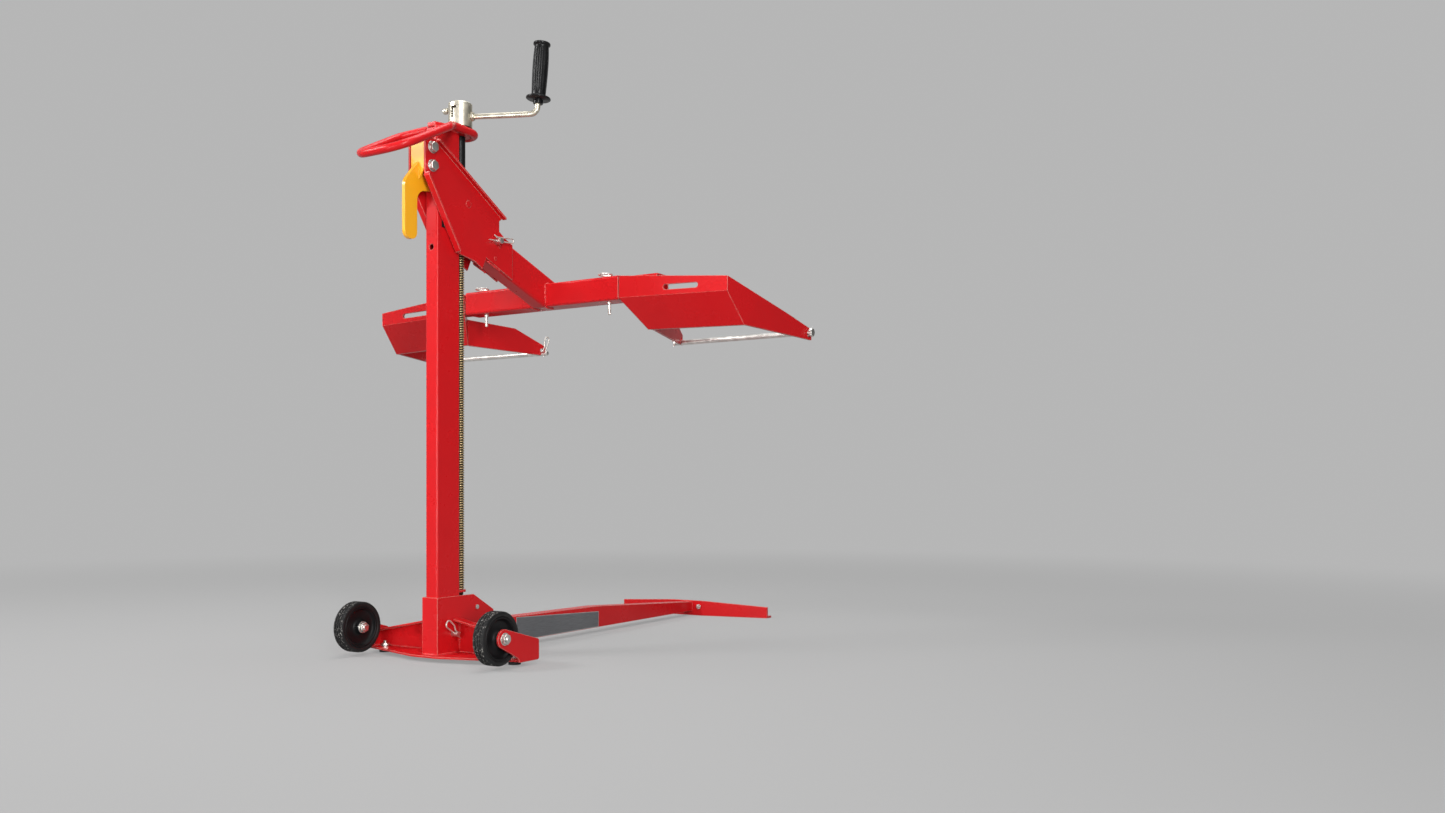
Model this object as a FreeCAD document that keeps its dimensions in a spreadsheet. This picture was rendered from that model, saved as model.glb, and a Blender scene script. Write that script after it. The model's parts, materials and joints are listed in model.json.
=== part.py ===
import FreeCAD, Part
import math
import os
from types import SimpleNamespace

import Sketcher
from FreeCAD import Placement, Rotation, Vector

# Lawn mower lift: a crank and screw raise a carriage with two wheel cradles on a post.
# Frame: origin on the floor under the middle of the post, +X to the right of someone who
# stands behind the post and looks at the mower, +Y forward to the mower, +Z up, millimetres.

POST = {
    "post_width": 32.0,
    "post_depth": 64.0,
    "post_wall": 3.0,
    "post_corner": 4.0,
    "post_top": 1060.0,
    "lock_hole_drop": 100.0,
    "lock_hole_radius": 6.0,
}

TOP_PLATE = {
    "cap_half_width": 19.9,
    "cap_thickness": 8.0,
    "cap_rear_half_width": 10.0,
    "cap_taper": 24.0,
    "boss_radius": 17.0,
    "boss_height": 6.2,
}

HANDLE = {
    "handle_bar_radius": 7.8,
    "handle_seat_gap": 0.1,
    "handle_kink_back": 36.0,
    "handle_half_width": 68.0,
    "handle_mid_back": 84.0,
    "handle_mid_drop": 23.0,
    "handle_tip_back": 208.0,
    "handle_tip_drop": 93.0,
    "handle_tip_bend": 50.0,
    "handle_kink_bend": 26.0,
}

SOCKET = {
    "socket_wall": 4.0,
    "socket_gap": 0.3,
    "socket_height": 113.0,
    "gusset_flat": 31.0,
    "gusset_reach": 91.0,
    "gusset_drop": 36.0,
    "gusset_nose": 7.0,
    "gusset_foot": 46.0,
    "gusset_foot_height": 48.0,
    "gusset_bolt_forward": 39.7,
    "gusset_bolt_height": 98.4,
    "gusset_bolt_radius": 2.5,
    "gusset_bolt_head_width": 9.0,
    "gusset_bolt_head_height": 3.0,
    "bearing_plate_rise": 5.0,
    "bearing_plate_thickness": 5.0,
    "bearing_plate_half_width": 11.0,
}

CROSS_BEAM = {
    "base_clearance": 8.0,
    "base_plate_thickness": 4.0,
    "base_half_length": 203.0,
    "base_rear_middle": 53.0,
    "base_rear_flat": 34.0,
    "base_rear_end": 4.0,
    "web_forward": 26.0,
    "web_thickness": 4.0,
    "wing_height_inner": 68.0,
    "wing_height_outer": 33.0,
    "wing_flange": 18.0,
}

AXLE_PLATE = {
    "axle_plate_thickness": 4.0,
    "axle_back": 52.5,
    "axle_height": 58.0,
    "ear_radius": 18.5,
    "axle_plate_front": 48.0,
    "axle_plate_front_height": 40.0,
    "axle_plate_foot_back": 9.0,
    "axle_plate_corner": 5.0,
}

WHEEL = {
    "wheel_radius": 51.7,
    "tyre_width": 27.0,
    "wheel_inset": 17.5,
    "rim_radius": 42.0,
    "hub_radius": 13.0,
    "hub_overhang": 1.2,
    "hub_web": 7.0,
    "axle_radius": 6.0,
    "axle_running_gap": 0.08,
    "axle_head_width": 19.0,
    "axle_head_height": 7.5,
    "axle_nut_height": 8.0,
    "axle_thread_end": 3.0,
    "side_play": 0.3,
}

FEET = {
    "foot_inset": 28.0,
    "foot_forward": 13.0,
    "foot_radius": 12.0,
    "foot_stud_radius": 4.0,
    "foot_stud_rise": 5.5,
    "foot_nut_width": 13.0,
    "foot_nut_height": 6.0,
}

FORWARD_BEAM = {
    "beam_half_width": 16.2,
    "beam_wall": 3.0,
    "beam_rise": 12.0,
    "beam_rear_height": 56.0,
    "beam_knee_forward": 500.0,
    "beam_knee_height": 50.0,
    "beam_front_forward": 930.0,
    "beam_front_height": 24.0,
}

T_BAR = {
    "bar_half_length": 230.0,
    "bar_sweep": 30.0,
    "bar_flat": 46.0,
    "bar_thickness": 5.0,
    "bar_flange": 24.0,
    "bar_middle_height": 40.0,
    "bar_end_height": 29.0,
    "bar_bolt_side": 37.0,
    "bar_bolt_height": 24.0,
    "bar_bolt_radius": 4.0,
    "bar_bolt_head_width": 13.0,
    "bar_bolt_head_height": 4.0,
}

SCREW = {
    "screw_forward": 50.0,
    "screw_radius": 8.0,
    "screw_journal_radius": 6.0,
    "screw_running_gap": 0.08,
    "screw_tail": 6.0,
    "sleeve_radius": 10.0,
    "sleeve_length": 62.0,
    "washer_radius": 20.0,
    "washer_height": 4.0,
}

CRANK = {
    "crank_head_radius": 24.0,
    "crank_head_height": 49.5,
    "crank_head_chamfer": 1.5,
    "crank_head_cover": 5.0,
    "crank_slot_width": 4.6,
    "crank_slot_depth": 8.0,
    "crank_slot_length": 24.0,
    "crank_slot_branch": 8.0,
    "crank_slot_rise": 15.0,
    "crank_arm_radius": 5.8,
    "crank_arm_rise": 22.5,
    "crank_arm_reach": 162.0,
    "crank_arm_turn_angle": 22.8,
    "crank_arm_lean_angle": 4.0,
    "crank_arm_bend": 17.0,
    "crank_arm_seat": 11.0,
    "crank_knob_reach": 38.0,
    "crank_knob_radius": 6.0,
    "crank_knob_rise": 41.0,
    "crank_knob_stem": 3.0,
}

GRIP = {
    "grip_start": 20.0,
    "grip_collar_radius": 10.0,
    "grip_collar_length": 9.0,
    "grip_guard_radius": 25.0,
    "grip_guard_thickness": 5.0,
    "grip_length": 124.0,
    "grip_waist_radius": 14.2,
    "grip_belly_radius": 15.8,
    "grip_lip_radius": 17.2,
    "grip_lip_length": 6.0,
    "grip_running_gap": 0.09,
    "grip_cap": 6.0,
    "grip_flute": 1.2,
}

CARRIAGE = {
    "side_plate_gap": 3.0,
    "side_plate_thickness": 3.5,
    "side_flange": 14.0,
    "plate_rear": 71.0,
    "plate_top_rise": 107.0,
    "plate_rear_low_rise": 30.0,
    "plate_heel_forward": 16.0,
    "plate_heel_drop": 104.0,
    "plate_toe_forward": 92.0,
    "plate_toe_drop": 124.0,
    "plate_sole_forward": 70.0,
    "plate_sole_drop": 113.0,
    "plate_top_back": 42.0,
    "plate_brow_forward": 154.0,
    "plate_brow_drop": 7.0,
    "plate_notch": 11.0,
    "plate_notch_height": 30.0,
    "plate_front": 185.0,
    "guide_bolt_back": 52.3,
    "guide_bolt_low_rise": 53.0,
    "guide_bolt_spacing": 36.0,
    "guide_bolt_radius": 6.0,
    "guide_bolt_head_width": 19.0,
    "guide_bolt_head_height": 9.0,
    "guide_block_half_width": 13.0,
    "guide_block_rear": 60.0,
    "guide_block_low": 11.0,
    "guide_block_high": 20.0,
    "guide_gap": 0.3,
    "nut_drop": 140.0,
    "nut_half_height": 26.0,
    "nut_rear_gap": 0.3,
    "nut_depth": 36.0,
    "nut_trunnion_radius": 7.0,
    "pad_low_drop": 96.0,
    "pad_high_drop": 58.0,
    "pad_depth": 9.0,
    "liner_half_depth": 20.0,
    "liner_low_drop": 60.0,
    "liner_length": 130.0,
}

ARM = {
    "arm_height": 70.0,
    "arm_wall": 3.5,
    "arm_corner": 6.0,
    "arm_slope_angle": 19.5,
    "arm_rear": 82.0,
    "arm_pin_back": 166.0,
    "arm_pin_drop": 20.0,
    "hitch_pin_radius": 6.0,
    "hitch_pin_head_radius": 9.0,
    "hitch_pin_head_height": 5.0,
    "hitch_pin_tail": 16.0,
    "pin_seat_gap": 0.1,
}

CROSS_TUBE = {
    "tube_half_length": 217.0,
    "tube_side": 52.0,
    "tube_wall": 3.6,
    "tube_corner": 5.0,
    "tube_forward": 325.0,
    "tube_drop": 147.0,
    "tube_slide_gap": 0.2,
    "lock_pin_inset": 41.0,
    "lock_pin_radius": 5.5,
    "lock_pin_gap": 0.1,
    "lock_pin_tip": 27.0,
    "lock_pin_head_radius": 8.0,
    "lock_pin_head_height": 12.0,
    "lock_ring_radius": 14.5,
    "lock_ring_wire": 1.8,
    "lock_ring_drop": 1.3,
    "cradle_travel": 140.0,
}

CRADLE = {
    "cradle_tube_wall": 3.0,
    "cradle_tube_reach": 95.0,
    "cradle_lean_angle": 1.8,
    "cradle_gap": 2.5,
    "cradle_width": 268.5,
    "tray_thickness": 5.0,
    "tray_inner_rise": 47.0,
    "tray_outer_rise": 30.4,
    "tray_bend_drop": 23.0,
    "tray_lip_forward": 55.0,
    "tray_lip_drop": 86.0,
    "tray_inner_lip_inset": 42.0,
    "arm_end_forward": 277.0,
    "arm_end_inner_flare": 14.0,
    "arm_end_outer_flare": 58.0,
    "inner_arm_knee_forward": 191.0,
    "inner_arm_knee_drop": 32.0,
    "outer_arm_knee_forward": 193.0,
    "outer_arm_knee_drop": 45.0,
    "arm_end_top_drop": 70.0,
    "arm_end_low_drop": 94.0,
    "tray_slot_inner": 119.0,
    "tray_slot_length": 74.0,
    "tray_slot_drop": 7.0,
    "tray_slot_half": 5.5,
    "rod_radius": 6.0,
    "rod_back": 9.0,
    "rod_drop": 81.0,
    "rod_head_width": 18.0,
    "rod_head_height": 8.0,
    "rod_tail": 14.0,
}

LEVER = {
    "lever_half_width": 17.0,
    "lever_web": 3.5,
    "lever_rear": 69.5,
    "lever_top": 12.0,
    "lever_waist_drop": 43.0,
    "lever_web_drop": 63.0,
    "lever_ear_front": 43.0,
    "lever_ear_low": 14.0,
    "lever_blade_half": 4.0,
    "lever_blade_rear": 106.0,
    "lever_blade_front": 74.0,
    "lever_peak_drop": 29.0,
    "lever_shoulder_drop": 73.0,
    "lever_shoulder_round": 28.0,
    "lever_tip_drop": 184.0,
    "lever_throat_drop": 87.0,
    "lever_throat_round": 23.0,
    "lever_pawl_low_drop": 80.5,
    "lever_pawl_high_drop": 72.0,
    "lever_pawl_gap": 3.5,
    "lever_neck_back": 50.0,
    "lever_neck_drop": 54.0,
    "lever_root_drop": 47.0,
    "lever_tip_round": 15.0,
}

CLIP = {
    "clip_wire": 1.5,
    "clip_tail": 21.0,
    "clip_reach": 34.0,
    "clip_loop": 16.0,
    "clip_bend": 4.5,
    "clip_hole_gap": 0.1,
    "base_pin_forward": 6.0,
    "base_pin_height": 50.0,
    "base_pin_radius": 4.5,
    "base_pin_head_radius": 8.0,
    "base_clip_angle": 147.0,
    "arm_clip_angle": 4.0,
    "arm_clip_tail": 36.0,
    "arm_clip_reach": 46.0,
    "arm_clip_loop": 10.0,
    "rod_clip_angle": 60.0,
}

GROUPS = [
    POST, TOP_PLATE, HANDLE, SOCKET, CROSS_BEAM, AXLE_PLATE, WHEEL, FEET, FORWARD_BEAM,
    T_BAR, SCREW, CRANK, GRIP, CARRIAGE, ARM, CROSS_TUBE, CRADLE, LEVER, CLIP,
]

OVERRUN = {"overrun": 12.0}

# Shares of the sizes that they follow.
GRIP_WAIST_SHARE = 0.08
GRIP_BELLY_SHARE = 0.62
TREAD_SHOULDER_SHARE = 0.86
RIM_SHARE = 0.9
HEXAGON_SHARES = ((0.5774, 0.0), (0.2887, 0.5), (-0.2887, 0.5), (-0.5774, 0.0), (-0.2887, -0.5),
                  (0.2887, -0.5))
FLUTES = 10
BAR_SIDES = 12
BEND_STEP = math.radians(15)
CLOSING_SHARE = 0.001
WIRE_SIDES = 6
RING_STEPS = 20


class Size:
    """A length or an angle that knows both its number and its expression in the sheet."""

    def __init__(self, number, text):
        self.number = number
        self.text = text

    def __add__(self, other):
        return joined(self, other, "+", lambda a, b: a + b)

    def __radd__(self, other):
        return joined(other, self, "+", lambda a, b: a + b)

    def __sub__(self, other):
        return joined(self, other, "-", lambda a, b: a - b)

    def __rsub__(self, other):
        return joined(other, self, "-", lambda a, b: a - b)

    def __mul__(self, other):
        return joined(self, other, "*", lambda a, b: a * b)

    def __rmul__(self, other):
        return joined(other, self, "*", lambda a, b: a * b)

    def __truediv__(self, other):
        return joined(self, other, "/", lambda a, b: a / b)

    def __neg__(self):
        return Size(-self.number, f"(-1 * {self.text})")


def as_size(value):
    return value if isinstance(value, Size) else Size(float(value), f"{value:g}")


def joined(first, second, sign, action):
    first, second = as_size(first), as_size(second)
    return Size(action(first.number, second.number), f"({first.text} {sign} {second.text})")


def cosine(angle):
    return Size(math.cos(math.radians(angle.number)), f"cos({angle.text} * 1 deg)")


def sine(angle):
    return Size(math.sin(math.radians(angle.number)), f"sin({angle.text} * 1 deg)")


ZERO = Size(0.0, "0")

doc = FreeCAD.newDocument("mower_lift")
sheet = doc.addObject("Spreadsheet::Sheet", "Sizes")
size = SimpleNamespace()
row = 0
for group in GROUPS + [OVERRUN]:
    for alias, value in group.items():
        row += 1
        sheet.set(f"A{row}", alias)
        sheet.set(f"B{row}", f"{value:g}")
        sheet.setAlias(f"B{row}", alias)
        setattr(size, alias, Size(value, f"Sizes.{alias}"))
doc.recompute()

nodes = []


def keep(node, label):
    """Marks a finished sub-part, whose label names its file."""
    node.Label = label
    nodes.append(node)
    return node


def new_body(name):
    return doc.addObject("PartDesign::Body", name)


def origin_plane(body, role):
    return next(item for item in body.Origin.OriginFeatures if item.Role == role)


def new_sketch(body, role, height=ZERO):
    """A sketch parallel to an origin plane, at a height along the positive axis across it."""
    sketch = body.newObject("Sketcher::SketchObject", "Outline")
    sketch.AttachmentSupport = [(origin_plane(body, role), "")]
    sketch.MapMode = "FlatFace"
    along = -height if role == "XZ_Plane" else height
    sketch.setExpression(".AttachmentOffset.Base.z", along.text)
    return sketch


def hold(sketch, kind, part, end, value):
    index = sketch.addConstraint(Sketcher.Constraint(kind, -1, 1, part, end, value.number))
    sketch.setExpression(f"Constraints[{index}]", value.text)


def draw_polygon(sketch, points):
    """Straight edges through points, each point held by its two sizes."""
    points = [(as_size(x), as_size(y)) for x, y in points]
    first = sketch.GeometryCount
    count = len(points)
    for i in range(count):
        start, stop = points[i], points[(i + 1) % count]
        line = Part.LineSegment(
            Vector(start[0].number, start[1].number, 0), Vector(stop[0].number, stop[1].number, 0)
        )
        sketch.addGeometry(line, False)
    for i in range(count):
        follower = first + (i + 1) % count
        sketch.addConstraint(Sketcher.Constraint("Coincident", first + i, 2, follower, 1))
    for i, (x, y) in enumerate(points):
        hold(sketch, "DistanceX", first + i, 1, x)
        hold(sketch, "DistanceY", first + i, 1, y)


def draw_circle(sketch, x, y, radius):
    x, y = as_size(x), as_size(y)
    circle = Part.Circle(Vector(x.number, y.number, 0), Vector(0, 0, 1), radius.number)
    index = sketch.addGeometry(circle, False)
    hold(sketch, "DistanceX", index, 3, x)
    hold(sketch, "DistanceY", index, 3, y)
    rule = sketch.addConstraint(Sketcher.Constraint("Radius", index, radius.number))
    sketch.setExpression(f"Constraints[{rule}]", radius.text)


def rectangle(left, right, low, high):
    return [(left, low), (right, low), (right, high), (left, high)]


def draw_hexagon(sketch, x, y, width):
    """A hexagon of a width across its flats, as a bolt's head has."""
    draw_polygon(sketch, [(x + width * a, y + width * b) for a, b in HEXAGON_SHARES])


def slab(body, role, start, stop, draw, cutting=False):
    """Pads, or cuts away, an outline between two heights along the positive axis across it."""
    if stop.number < start.number:
        start, stop = stop, start
    before = body.Tip.Shape.Volume if cutting else 0.0
    sketch = new_sketch(body, role, start)
    draw(sketch)
    kind = "PartDesign::Pocket" if cutting else "PartDesign::Pad"
    feature = body.newObject(kind, "Cut" if cutting else "Slab")
    feature.Profile = sketch
    feature.setExpression("Length", (stop - start).text)
    feature.Reversed = (role == "XZ_Plane") != cutting
    body.Tip = feature
    doc.recompute()
    if cutting and not feature.Shape.Volume < before - 1e-6:
        raise RuntimeError(f"a cut in {body.Name} removes nothing")
    return feature


def cut_slab(body, role, start, stop, draw):
    return slab(body, role, start, stop, draw, cutting=True)


def edges_at(shape, role, points, reach=0.05):
    """Names of the edges that run across a plane at the given points of it."""
    across = {"XY_Plane": 2, "XZ_Plane": 1, "YZ_Plane": 0}[role]
    kept = [axis for axis in (0, 1, 2) if axis != across]
    names = []
    for number, edge in enumerate(shape.Edges, 1):
        ends = [vertex.Point for vertex in edge.Vertexes]
        if len(ends) != 2:
            continue
        for x, y in points:
            spot = (as_size(x).number, as_size(y).number)
            if all(
                abs(end[kept[0]] - spot[0]) < reach and abs(end[kept[1]] - spot[1]) < reach
                for end in ends
            ):
                names.append(f"Edge{number}")
    return names


def round_corners(body, role, points, radius):
    """Rounds the corners of the tip that stand across a plane at the given points."""
    names = edges_at(body.Tip.Shape, role, points)
    if not names:
        raise RuntimeError(f"no corner to round in {body.Name}")
    base = body.Tip
    fillet = body.newObject("PartDesign::Fillet", "Rounding")
    fillet.Base = (base, names)
    fillet.setExpression("Radius", radius.text)
    body.Tip = fillet
    doc.recompute()
    return fillet


def round_runs(body, runs, radius, reach=0.05):
    """Rounds the straight edges of the tip that join the given pairs of points."""
    names = []
    for number, edge in enumerate(body.Tip.Shape.Edges, 1):
        ends = [vertex.Point for vertex in edge.Vertexes]
        for start, stop in runs:
            for one, other in ((start, stop), (stop, start)):
                if len(ends) == 2 and max((ends[0] - one).Length, (ends[1] - other).Length) < reach:
                    names.append(f"Edge{number}")
    if len(names) != len(runs):
        raise RuntimeError(f"{len(names)} of {len(runs)} runs found in {body.Name}")
    base = body.Tip
    fillet = body.newObject("PartDesign::Fillet", "Rounding")
    fillet.Base = (base, names)
    fillet.setExpression("Radius", radius.text)
    body.Tip = fillet
    doc.recompute()


def place(item, x=ZERO, y=ZERO, z=ZERO, axis=None, turn=None):
    """Moves a sub-part to its seat, turned about an axis by an angle in degrees."""
    if axis is not None:
        angle = as_size(turn)
        item.Placement = Placement(Vector(0, 0, 0), Rotation(axis, angle.number))
        if isinstance(turn, Size):
            item.setExpression(".Placement.Rotation.Angle", turn.text)
    for name, value in (("x", x), ("y", y), ("z", z)):
        item.setExpression(f".Placement.Base.{name}", as_size(value).text)


X_AXIS = Vector(1, 0, 0)
Y_AXIS = Vector(0, 1, 0)
Z_AXIS = Vector(0, 0, 1)
ALONG = {"X": (Y_AXIS, 90), "Y": (X_AXIS, -90), "Z": (Z_AXIS, 0)}


def turned(name, points, x=ZERO, y=ZERO, z=ZERO, along="Z", flip=False):
    """A body of revolution: a half outline of radius and height, turned about its own axis."""
    body = new_body(name)
    sketch = new_sketch(body, "XZ_Plane")
    draw_polygon(sketch, points)
    feature = body.newObject("PartDesign::Revolution", "Turning")
    feature.Profile = sketch
    feature.ReferenceAxis = (sketch, ["V_Axis"])
    feature.Angle = 360
    body.Tip = feature
    axis, angle = ALONG[along]
    place(body, x, y, z, axis, -angle if flip else angle)
    doc.recompute()
    return body


def box_tube(name, role, start, stop, middle, half, wall, corner):
    """A square or oblong tube along the axis across a plane, with rounded outer corners."""
    body = new_body(name)
    (x, y), (half_x, half_y) = middle, half
    outer = rectangle(x - half_x, x + half_x, y - half_y, y + half_y)
    inner = rectangle(
        x - half_x + wall, x + half_x - wall, y - half_y + wall, y + half_y - wall
    )
    slab(body, role, start, stop, lambda sketch: draw_polygon(sketch, outer))
    round_corners(body, role, outer, corner)
    cut_slab(body, role, start, stop, lambda sketch: draw_polygon(sketch, inner))
    return body


def rounded_route(points, radii, closed=False):
    """Points of straight runs whose corners are rounded in small, even steps."""
    count = len(points)
    route = []
    for i in range(count):
        if not radii[i]:
            route.append(points[i])
            continue
        before, here, after = points[i - 1], points[i], points[(i + 1) % count]
        back = (before - here).normalize()
        ahead = (after - here).normalize()
        half = 0.5 * back.getAngle(ahead)
        bisector = (back + ahead).normalize()
        centre = here + bisector * (radii[i] / math.sin(half))
        start = here + back * (radii[i] / math.tan(half)) - centre
        turn = math.pi - 2 * half
        steps = max(2, math.ceil(turn / BEND_STEP))
        axis = start.cross(-back).normalize()
        outer = 1 / math.cos(turn / steps / 2)
        for step in range(steps):
            swing = Rotation(axis, math.degrees(turn * (step + 0.5) / steps))
            route.append(centre + swing.multVec(start) * outer)
    return route


def first_ring(start, stop, bar_radius, sides):
    heading = (stop - start).normalize()
    helper = X_AXIS if abs(heading.x) < abs(heading.z) else Z_AXIS
    across = heading.cross(helper).normalize()
    other = heading.cross(across)
    return [
        start + across * (bar_radius * math.cos(angle)) + other * (bar_radius * math.sin(angle))
        for angle in (2 * math.pi * (side + 0.5) / sides for side in range(sides))
    ]


def carried_ring(ring, here, before, after):
    """The ring slid along the run that ends here, onto the mitre of the two runs."""
    came = (here - before).normalize()
    goes = (after - here).normalize()
    mitre = (came + goes).normalize()
    return [
        point + came * ((here - point).dot(mitre) / came.dot(mitre)) for point in ring
    ]


def bar_from_route(name, route, bar_radius, sides, closed=False):
    """A bar of many narrow faces along a route, mitred where the route turns."""
    count = len(route)
    rings = [first_ring(route[0], route[1], bar_radius, sides)]
    if closed:
        rings = [carried_ring(rings[0], route[0], route[1], route[-1])]
    order = list(range(1, count)) + ([0] if closed else [])
    for i in order:
        here, before = route[i], route[i - 1]
        if i == count - 1 and not closed:
            heading = (here - before).normalize()
            rings.append([p + heading * (here - p).dot(heading) for p in rings[-1]])
        else:
            rings.append(carried_ring(rings[-1], here, before, route[(i + 1) % count]))
    if closed:
        last = rings.pop()
        shift = min(range(sides), key=lambda k: (last[k] - rings[0][0]).Length)
        miss = max((last[(k + shift) % sides] - rings[0][k]).Length for k in range(sides))
        if miss > bar_radius * CLOSING_SHARE:
            raise RuntimeError(f"{name} doesn't close: {miss:.3f}")
        closing = [rings[0][(k - shift) % sides] for k in range(sides)]
        rings.append(closing)
    faces = []
    for lower, upper in zip(rings, rings[1:]):
        for k in range(sides):
            j = (k + 1) % sides
            corners = [lower[k], lower[j], upper[j], upper[k], lower[k]]
            faces.append(Part.Face(Part.makePolygon(corners)))
    if not closed:
        for ring in (rings[0], rings[-1]):
            faces.append(Part.Face(Part.makePolygon(ring + ring[:1])))
    shape = Part.makeSolid(Part.makeShell(faces))
    if shape.Volume < 0:
        shape.reverse()
    bar = doc.addObject("Part::Feature", name)
    bar.Shape = shape
    return bar


def bent_bar(name, points, radii, bar_radius, sides, closed=False):
    """A round bar or wire that is bent along a route in space."""
    route = rounded_route(points, radii, closed)
    return bar_from_route(name, route, bar_radius, sides, closed)


def at(x, y, z):
    return Vector(as_size(x).number, as_size(y).number, as_size(z).number)


# Heights and edges that several pieces share.
half_post = size.post_width / 2
post_front = size.post_depth / 2
post_rear = -size.post_depth / 2
base_top = size.base_clearance + size.base_plate_thickness
socket_side = half_post + size.socket_gap + size.socket_wall
socket_front = post_front + size.socket_gap + size.socket_wall
socket_rear = -socket_front
socket_top = base_top + size.socket_height
cap_top = size.post_top + size.cap_thickness
boss_top = cap_top + size.boss_height
bearing_low = socket_top + size.bearing_plate_rise
bearing_top = bearing_low + size.bearing_plate_thickness
washer_top = boss_top + size.washer_height
head_low = washer_top
head_top = head_low + size.crank_head_height
arm_height = head_low + size.crank_arm_rise
plate_inner = half_post + size.side_plate_gap
plate_outer = plate_inner + size.side_plate_thickness
nut_height = size.post_top - size.nut_drop
tube_half = size.tube_side / 2
tube_height = nut_height - size.tube_drop
tube_rear = size.tube_forward - tube_half
tube_front = size.tube_forward + tube_half
tube_low = tube_height - tube_half
tube_top = tube_height + tube_half
slide_half = tube_half - size.tube_wall - size.tube_slide_gap
lock_pin_side = size.tube_half_length - size.lock_pin_inset
cradle_inner = size.tube_half_length + size.cradle_gap
cradle_outer = cradle_inner + size.cradle_width
guide_bolt_low = nut_height + size.guide_bolt_low_rise
pivot_height = guide_bolt_low + size.guide_bolt_spacing
foot_side = size.base_half_length - size.foot_inset
wheel_side = size.base_half_length - size.wheel_inset


def make_post():
    body = new_body("Post")
    outer = rectangle(-half_post, half_post, post_rear, post_front)
    inner = rectangle(
        size.post_wall - half_post, half_post - size.post_wall,
        post_rear + size.post_wall, post_front - size.post_wall,
    )
    slab(body, "XY_Plane", base_top, size.post_top, lambda s: draw_polygon(s, outer))
    round_corners(body, "XY_Plane", outer, size.post_corner)
    cut_slab(body, "XY_Plane", base_top, size.post_top, lambda s: draw_polygon(s, inner))
    cut_slab(
        body, "XZ_Plane", post_rear - size.overrun, post_rear + size.post_wall + size.post_wall,
        lambda s: draw_circle(s, ZERO, nut_height - size.lock_hole_drop, size.lock_hole_radius),
    )
    cut_slab(
        body, "YZ_Plane", -half_post - size.overrun, half_post + size.overrun,
        lambda s: draw_circle(
            s, size.base_pin_forward, size.base_pin_height,
            size.base_pin_radius + size.pin_seat_gap,
        ),
    )
    return keep(body, "post")


def make_top_plate():
    """The plate over the post and the screw: a narrow tail, a round nose, a bearing boss."""
    body = new_body("TopPlate")
    half, narrow = size.cap_half_width, size.cap_rear_half_width
    shoulder = post_rear + size.cap_taper
    plan = [
        (-narrow, post_rear), (narrow, post_rear), (half, shoulder), (half, size.screw_forward),
        (-half, size.screw_forward), (-half, shoulder),
    ]
    slab(body, "XY_Plane", size.post_top, cap_top, lambda s: draw_polygon(s, plan))
    slab(
        body, "XY_Plane", size.post_top, cap_top,
        lambda s: draw_circle(s, ZERO, size.screw_forward, half),
    )
    slab(
        body, "XY_Plane", cap_top, boss_top,
        lambda s: draw_circle(s, ZERO, size.screw_forward, size.boss_radius),
    )
    cut_slab(
        body, "XY_Plane", size.post_top - size.overrun, boss_top + size.overrun,
        lambda s: draw_circle(
            s, ZERO, size.screw_forward, size.screw_radius + size.screw_running_gap
        ),
    )
    return keep(body, "top_plate")


def make_handle():
    """One closed loop of bar: round the nose of the top plate, then back and down."""
    side = size.cap_half_width + size.handle_seat_gap + size.handle_bar_radius
    level = size.post_top + size.cap_thickness * 0.7
    nose = size.screw_forward + side
    kink = post_front - size.handle_kink_back
    middle = post_front - size.handle_mid_back
    tip = post_front - size.handle_tip_back
    wide = size.handle_half_width
    middle_level = level - size.handle_mid_drop
    tip_level = level - size.handle_tip_drop
    bend = side.number * 0.999
    right = [
        (at(side, nose, level), bend),
        (at(side, kink, level), size.handle_kink_bend.number),
        (at(wide, middle, middle_level), size.handle_kink_bend.number),
        (at(wide, tip, tip_level), size.handle_tip_bend.number),
    ]
    left = [(Vector(-point.x, point.y, point.z), radius) for point, radius in reversed(right)]
    route = right + left
    bar = bent_bar(
        "Handle", [point for point, _ in route], [radius for _, radius in route],
        size.handle_bar_radius.number, BAR_SIDES, closed=True,
    )
    return keep(bar, "handle_loop")


def make_socket():
    """The sleeve that holds the post, with side plates that reach forward as gussets."""
    body = new_body("Socket")
    inner_side = half_post + size.socket_gap
    inner_rear = post_rear - size.socket_gap
    inner_front = post_front + size.socket_gap
    beam_top = base_top + size.beam_rear_height
    reach = socket_front + size.gusset_reach
    nose = socket_top - size.gusset_drop
    foot = socket_front + size.gusset_foot
    side_outline = [
        (socket_rear, base_top),
        (foot, base_top),
        (foot, base_top + size.gusset_foot_height),
        (reach, nose - size.gusset_nose),
        (reach, nose),
        (socket_front + size.gusset_flat, socket_top),
        (socket_rear, socket_top),
    ]
    slab(
        body, "YZ_Plane", -socket_side, socket_side,
        lambda s: draw_polygon(s, side_outline),
    )
    cut_slab(
        body, "XY_Plane", base_top, socket_top + size.overrun,
        lambda s: draw_polygon(
            s, rectangle(-inner_side, inner_side, inner_rear, inner_front)
        ),
    )
    cut_slab(
        body, "XY_Plane", base_top, socket_top + size.overrun,
        lambda s: draw_polygon(
            s, rectangle(-inner_side, inner_side, socket_front, reach + size.overrun)
        ),
    )
    cut_slab(
        body, "XY_Plane", beam_top, socket_top + size.overrun,
        lambda s: draw_polygon(
            s, rectangle(-inner_side, inner_side, inner_rear, reach + size.overrun)
        ),
    )
    for forward, height, radius in (
        (size.base_pin_forward, size.base_pin_height, size.base_pin_radius),
        (
            socket_front + size.gusset_bolt_forward, size.gusset_bolt_height,
            size.gusset_bolt_radius,
        ),
    ):
        cut_slab(
            body, "YZ_Plane", -socket_side - size.overrun, socket_side + size.overrun,
            lambda s: draw_circle(s, forward, height, radius + size.pin_seat_gap),
        )
    return keep(body, "post_socket")


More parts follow.
